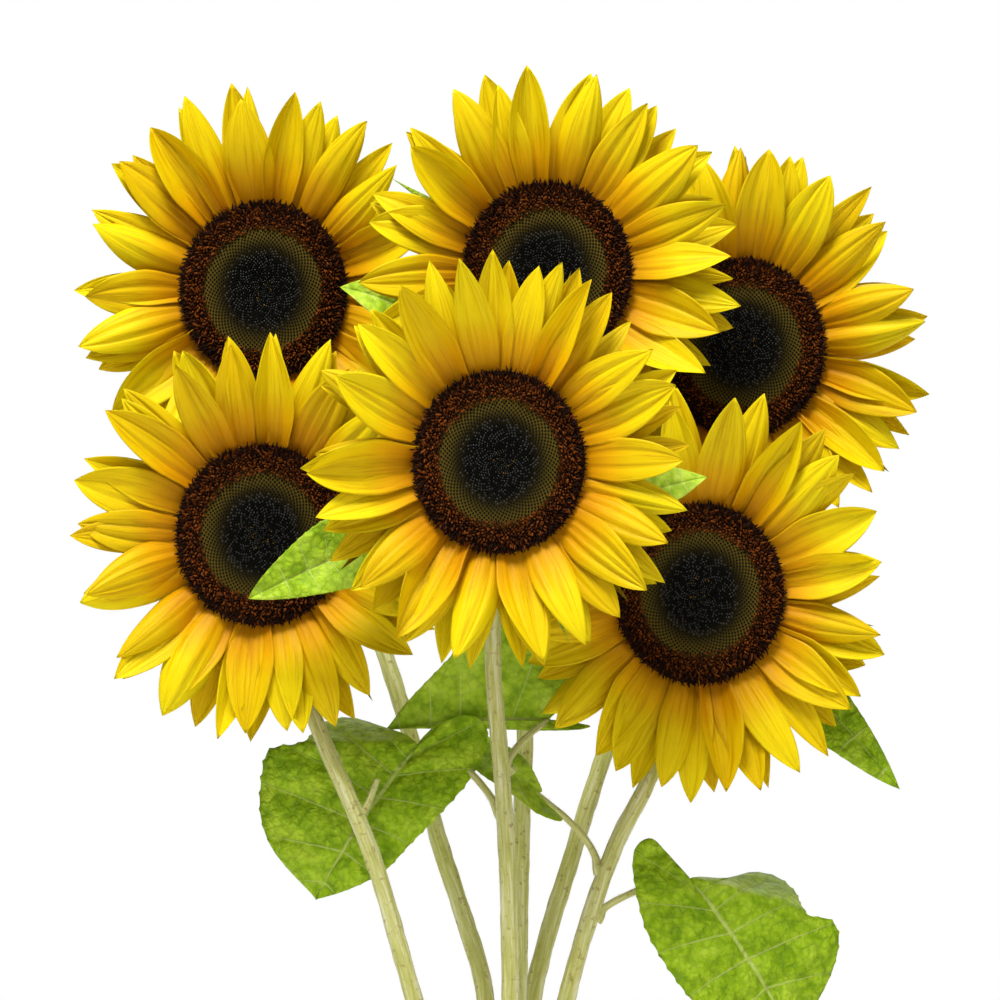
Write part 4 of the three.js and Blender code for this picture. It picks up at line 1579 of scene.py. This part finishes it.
@dataclass(frozen=True)
class Studio:
    """A plain pale floor, a bright even background and soft light from above and in front, in metres."""

    floor_radius: float = 1.5
    floor_sides: int = 96
    floor_gap: float = 0.0005
    camera_distance: float = 6.0
    camera_height: float = 0.41
    camera_shift: float = -0.0025
    picture_width: float = 0.5
    aim: tuple[float, float, float] = (0.0, 0.0, 0.4)

    def build(self) -> None:
        """Makes floor, background, lights and camera."""
        self._floor()
        self._background()
        self._light("key", (-0.4, -1.1, 2.5), 0.9, 78.0)
        self._light("fill", (0.9, -2.4, 0.8), 1.6, 7.0)
        self._light("rim", (0.3, 1.9, 1.5), 1.4, 16.0)
        data = bpy.data.cameras.new("camera")
        camera = add_object("camera", data)
        camera.location = (self.camera_shift, -self.camera_distance, self.camera_height)
        camera.rotation_euler = (math.pi / 2, 0, 0)
        data.sensor_width = 36.0
        data.lens = data.sensor_width * self.camera_distance / self.picture_width
        data.clip_start, data.clip_end = 0.1, 60.0
        bpy.context.scene.camera = camera
        bpy.context.scene.view_settings.view_transform = "Standard"

    def _floor(self) -> None:
        """Makes the round floor, just under the plant's foot."""
        a = circle(self.floor_sides)
        rim = stacked(np.cos(a) * self.floor_radius, np.sin(a) * self.floor_radius, -self.floor_gap)
        mesh = bpy.data.meshes.new("floor")
        mesh.from_pydata(rim.tolist(), [], [list(range(self.floor_sides))])
        mesh.materials.append(Look.FLOOR.material)
        add_object("floor", mesh)

    @staticmethod
    def _background() -> None:
        """Makes the background: white where it is seen, dimmer where it lights the plant."""
        world = bpy.data.worlds.new("studio")
        world.use_nodes = True
        tree = world.node_tree
        seen = add_node(tree, "Background", {"Color": (1, 1, 1, 1), "Strength": 1.0})
        glow = add_node(tree, "Background", {"Color": (1, 0.99, 0.97, 1), "Strength": 0.27})
        path = add_node(tree, "LightPath", out="Is Camera Ray")
        mix = add_node(tree, "MixShader", {0: path, 1: glow, 2: seen})
        tree.links.new(mix, tree.nodes["World Output"].inputs["Surface"])
        bpy.context.scene.world = world

    def _light(self, name: str, place: tuple[float, float, float], size: float, power: float) -> None:
        """Makes a square soft light that looks at the middle of the plant.

        Args:
            name: the light's name.
            place: where it stands.
            size: its side in metres.
            power: its power in watts.
        """
        data = bpy.data.lights.new(name, "AREA")
        data.size = size
        data.energy = power
        light = add_object(name, data)
        light.location = place
        light.rotation_euler = (Vector(self.aim) - Vector(place)).to_track_quat("-Z", "Y").to_euler()


# ---------------------------------------------------------------- the plant


def main() -> None:
    """Builds the plant and the studio."""
    logging.basicConfig(level=logging.INFO, format="%(name)s: %(message)s")
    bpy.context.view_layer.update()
    nodes = frame["nodes"]
    keys = sorted(name.removeprefix("stem_") for name in nodes if name.startswith("stem_"))
    leaves = sorted(name.removeprefix("leaf_") for name in nodes if name.startswith("leaf_"))
    Crown().build()
    paths = []
    for number, key in enumerate(keys):
        rng = np.random.default_rng(100 + number)
        head = HeadFrame.read(key)
        paths.append(FlowerStem(head, rng).build())
        BractCup(head, rng).build()
        RayPetals(head, rng).build()
        SeedDisc(head, rng).build()
    stems = np.concatenate(paths)
    for number, name in enumerate(leaves):
        Leaf(name, np.random.default_rng(200 + number), LEAF_STYLES.get(name, LeafStyle())).build(stems)
    build_stub(stems, np.random.default_rng(300))
    Studio().build()


if __name__ == "__main__":
    main()
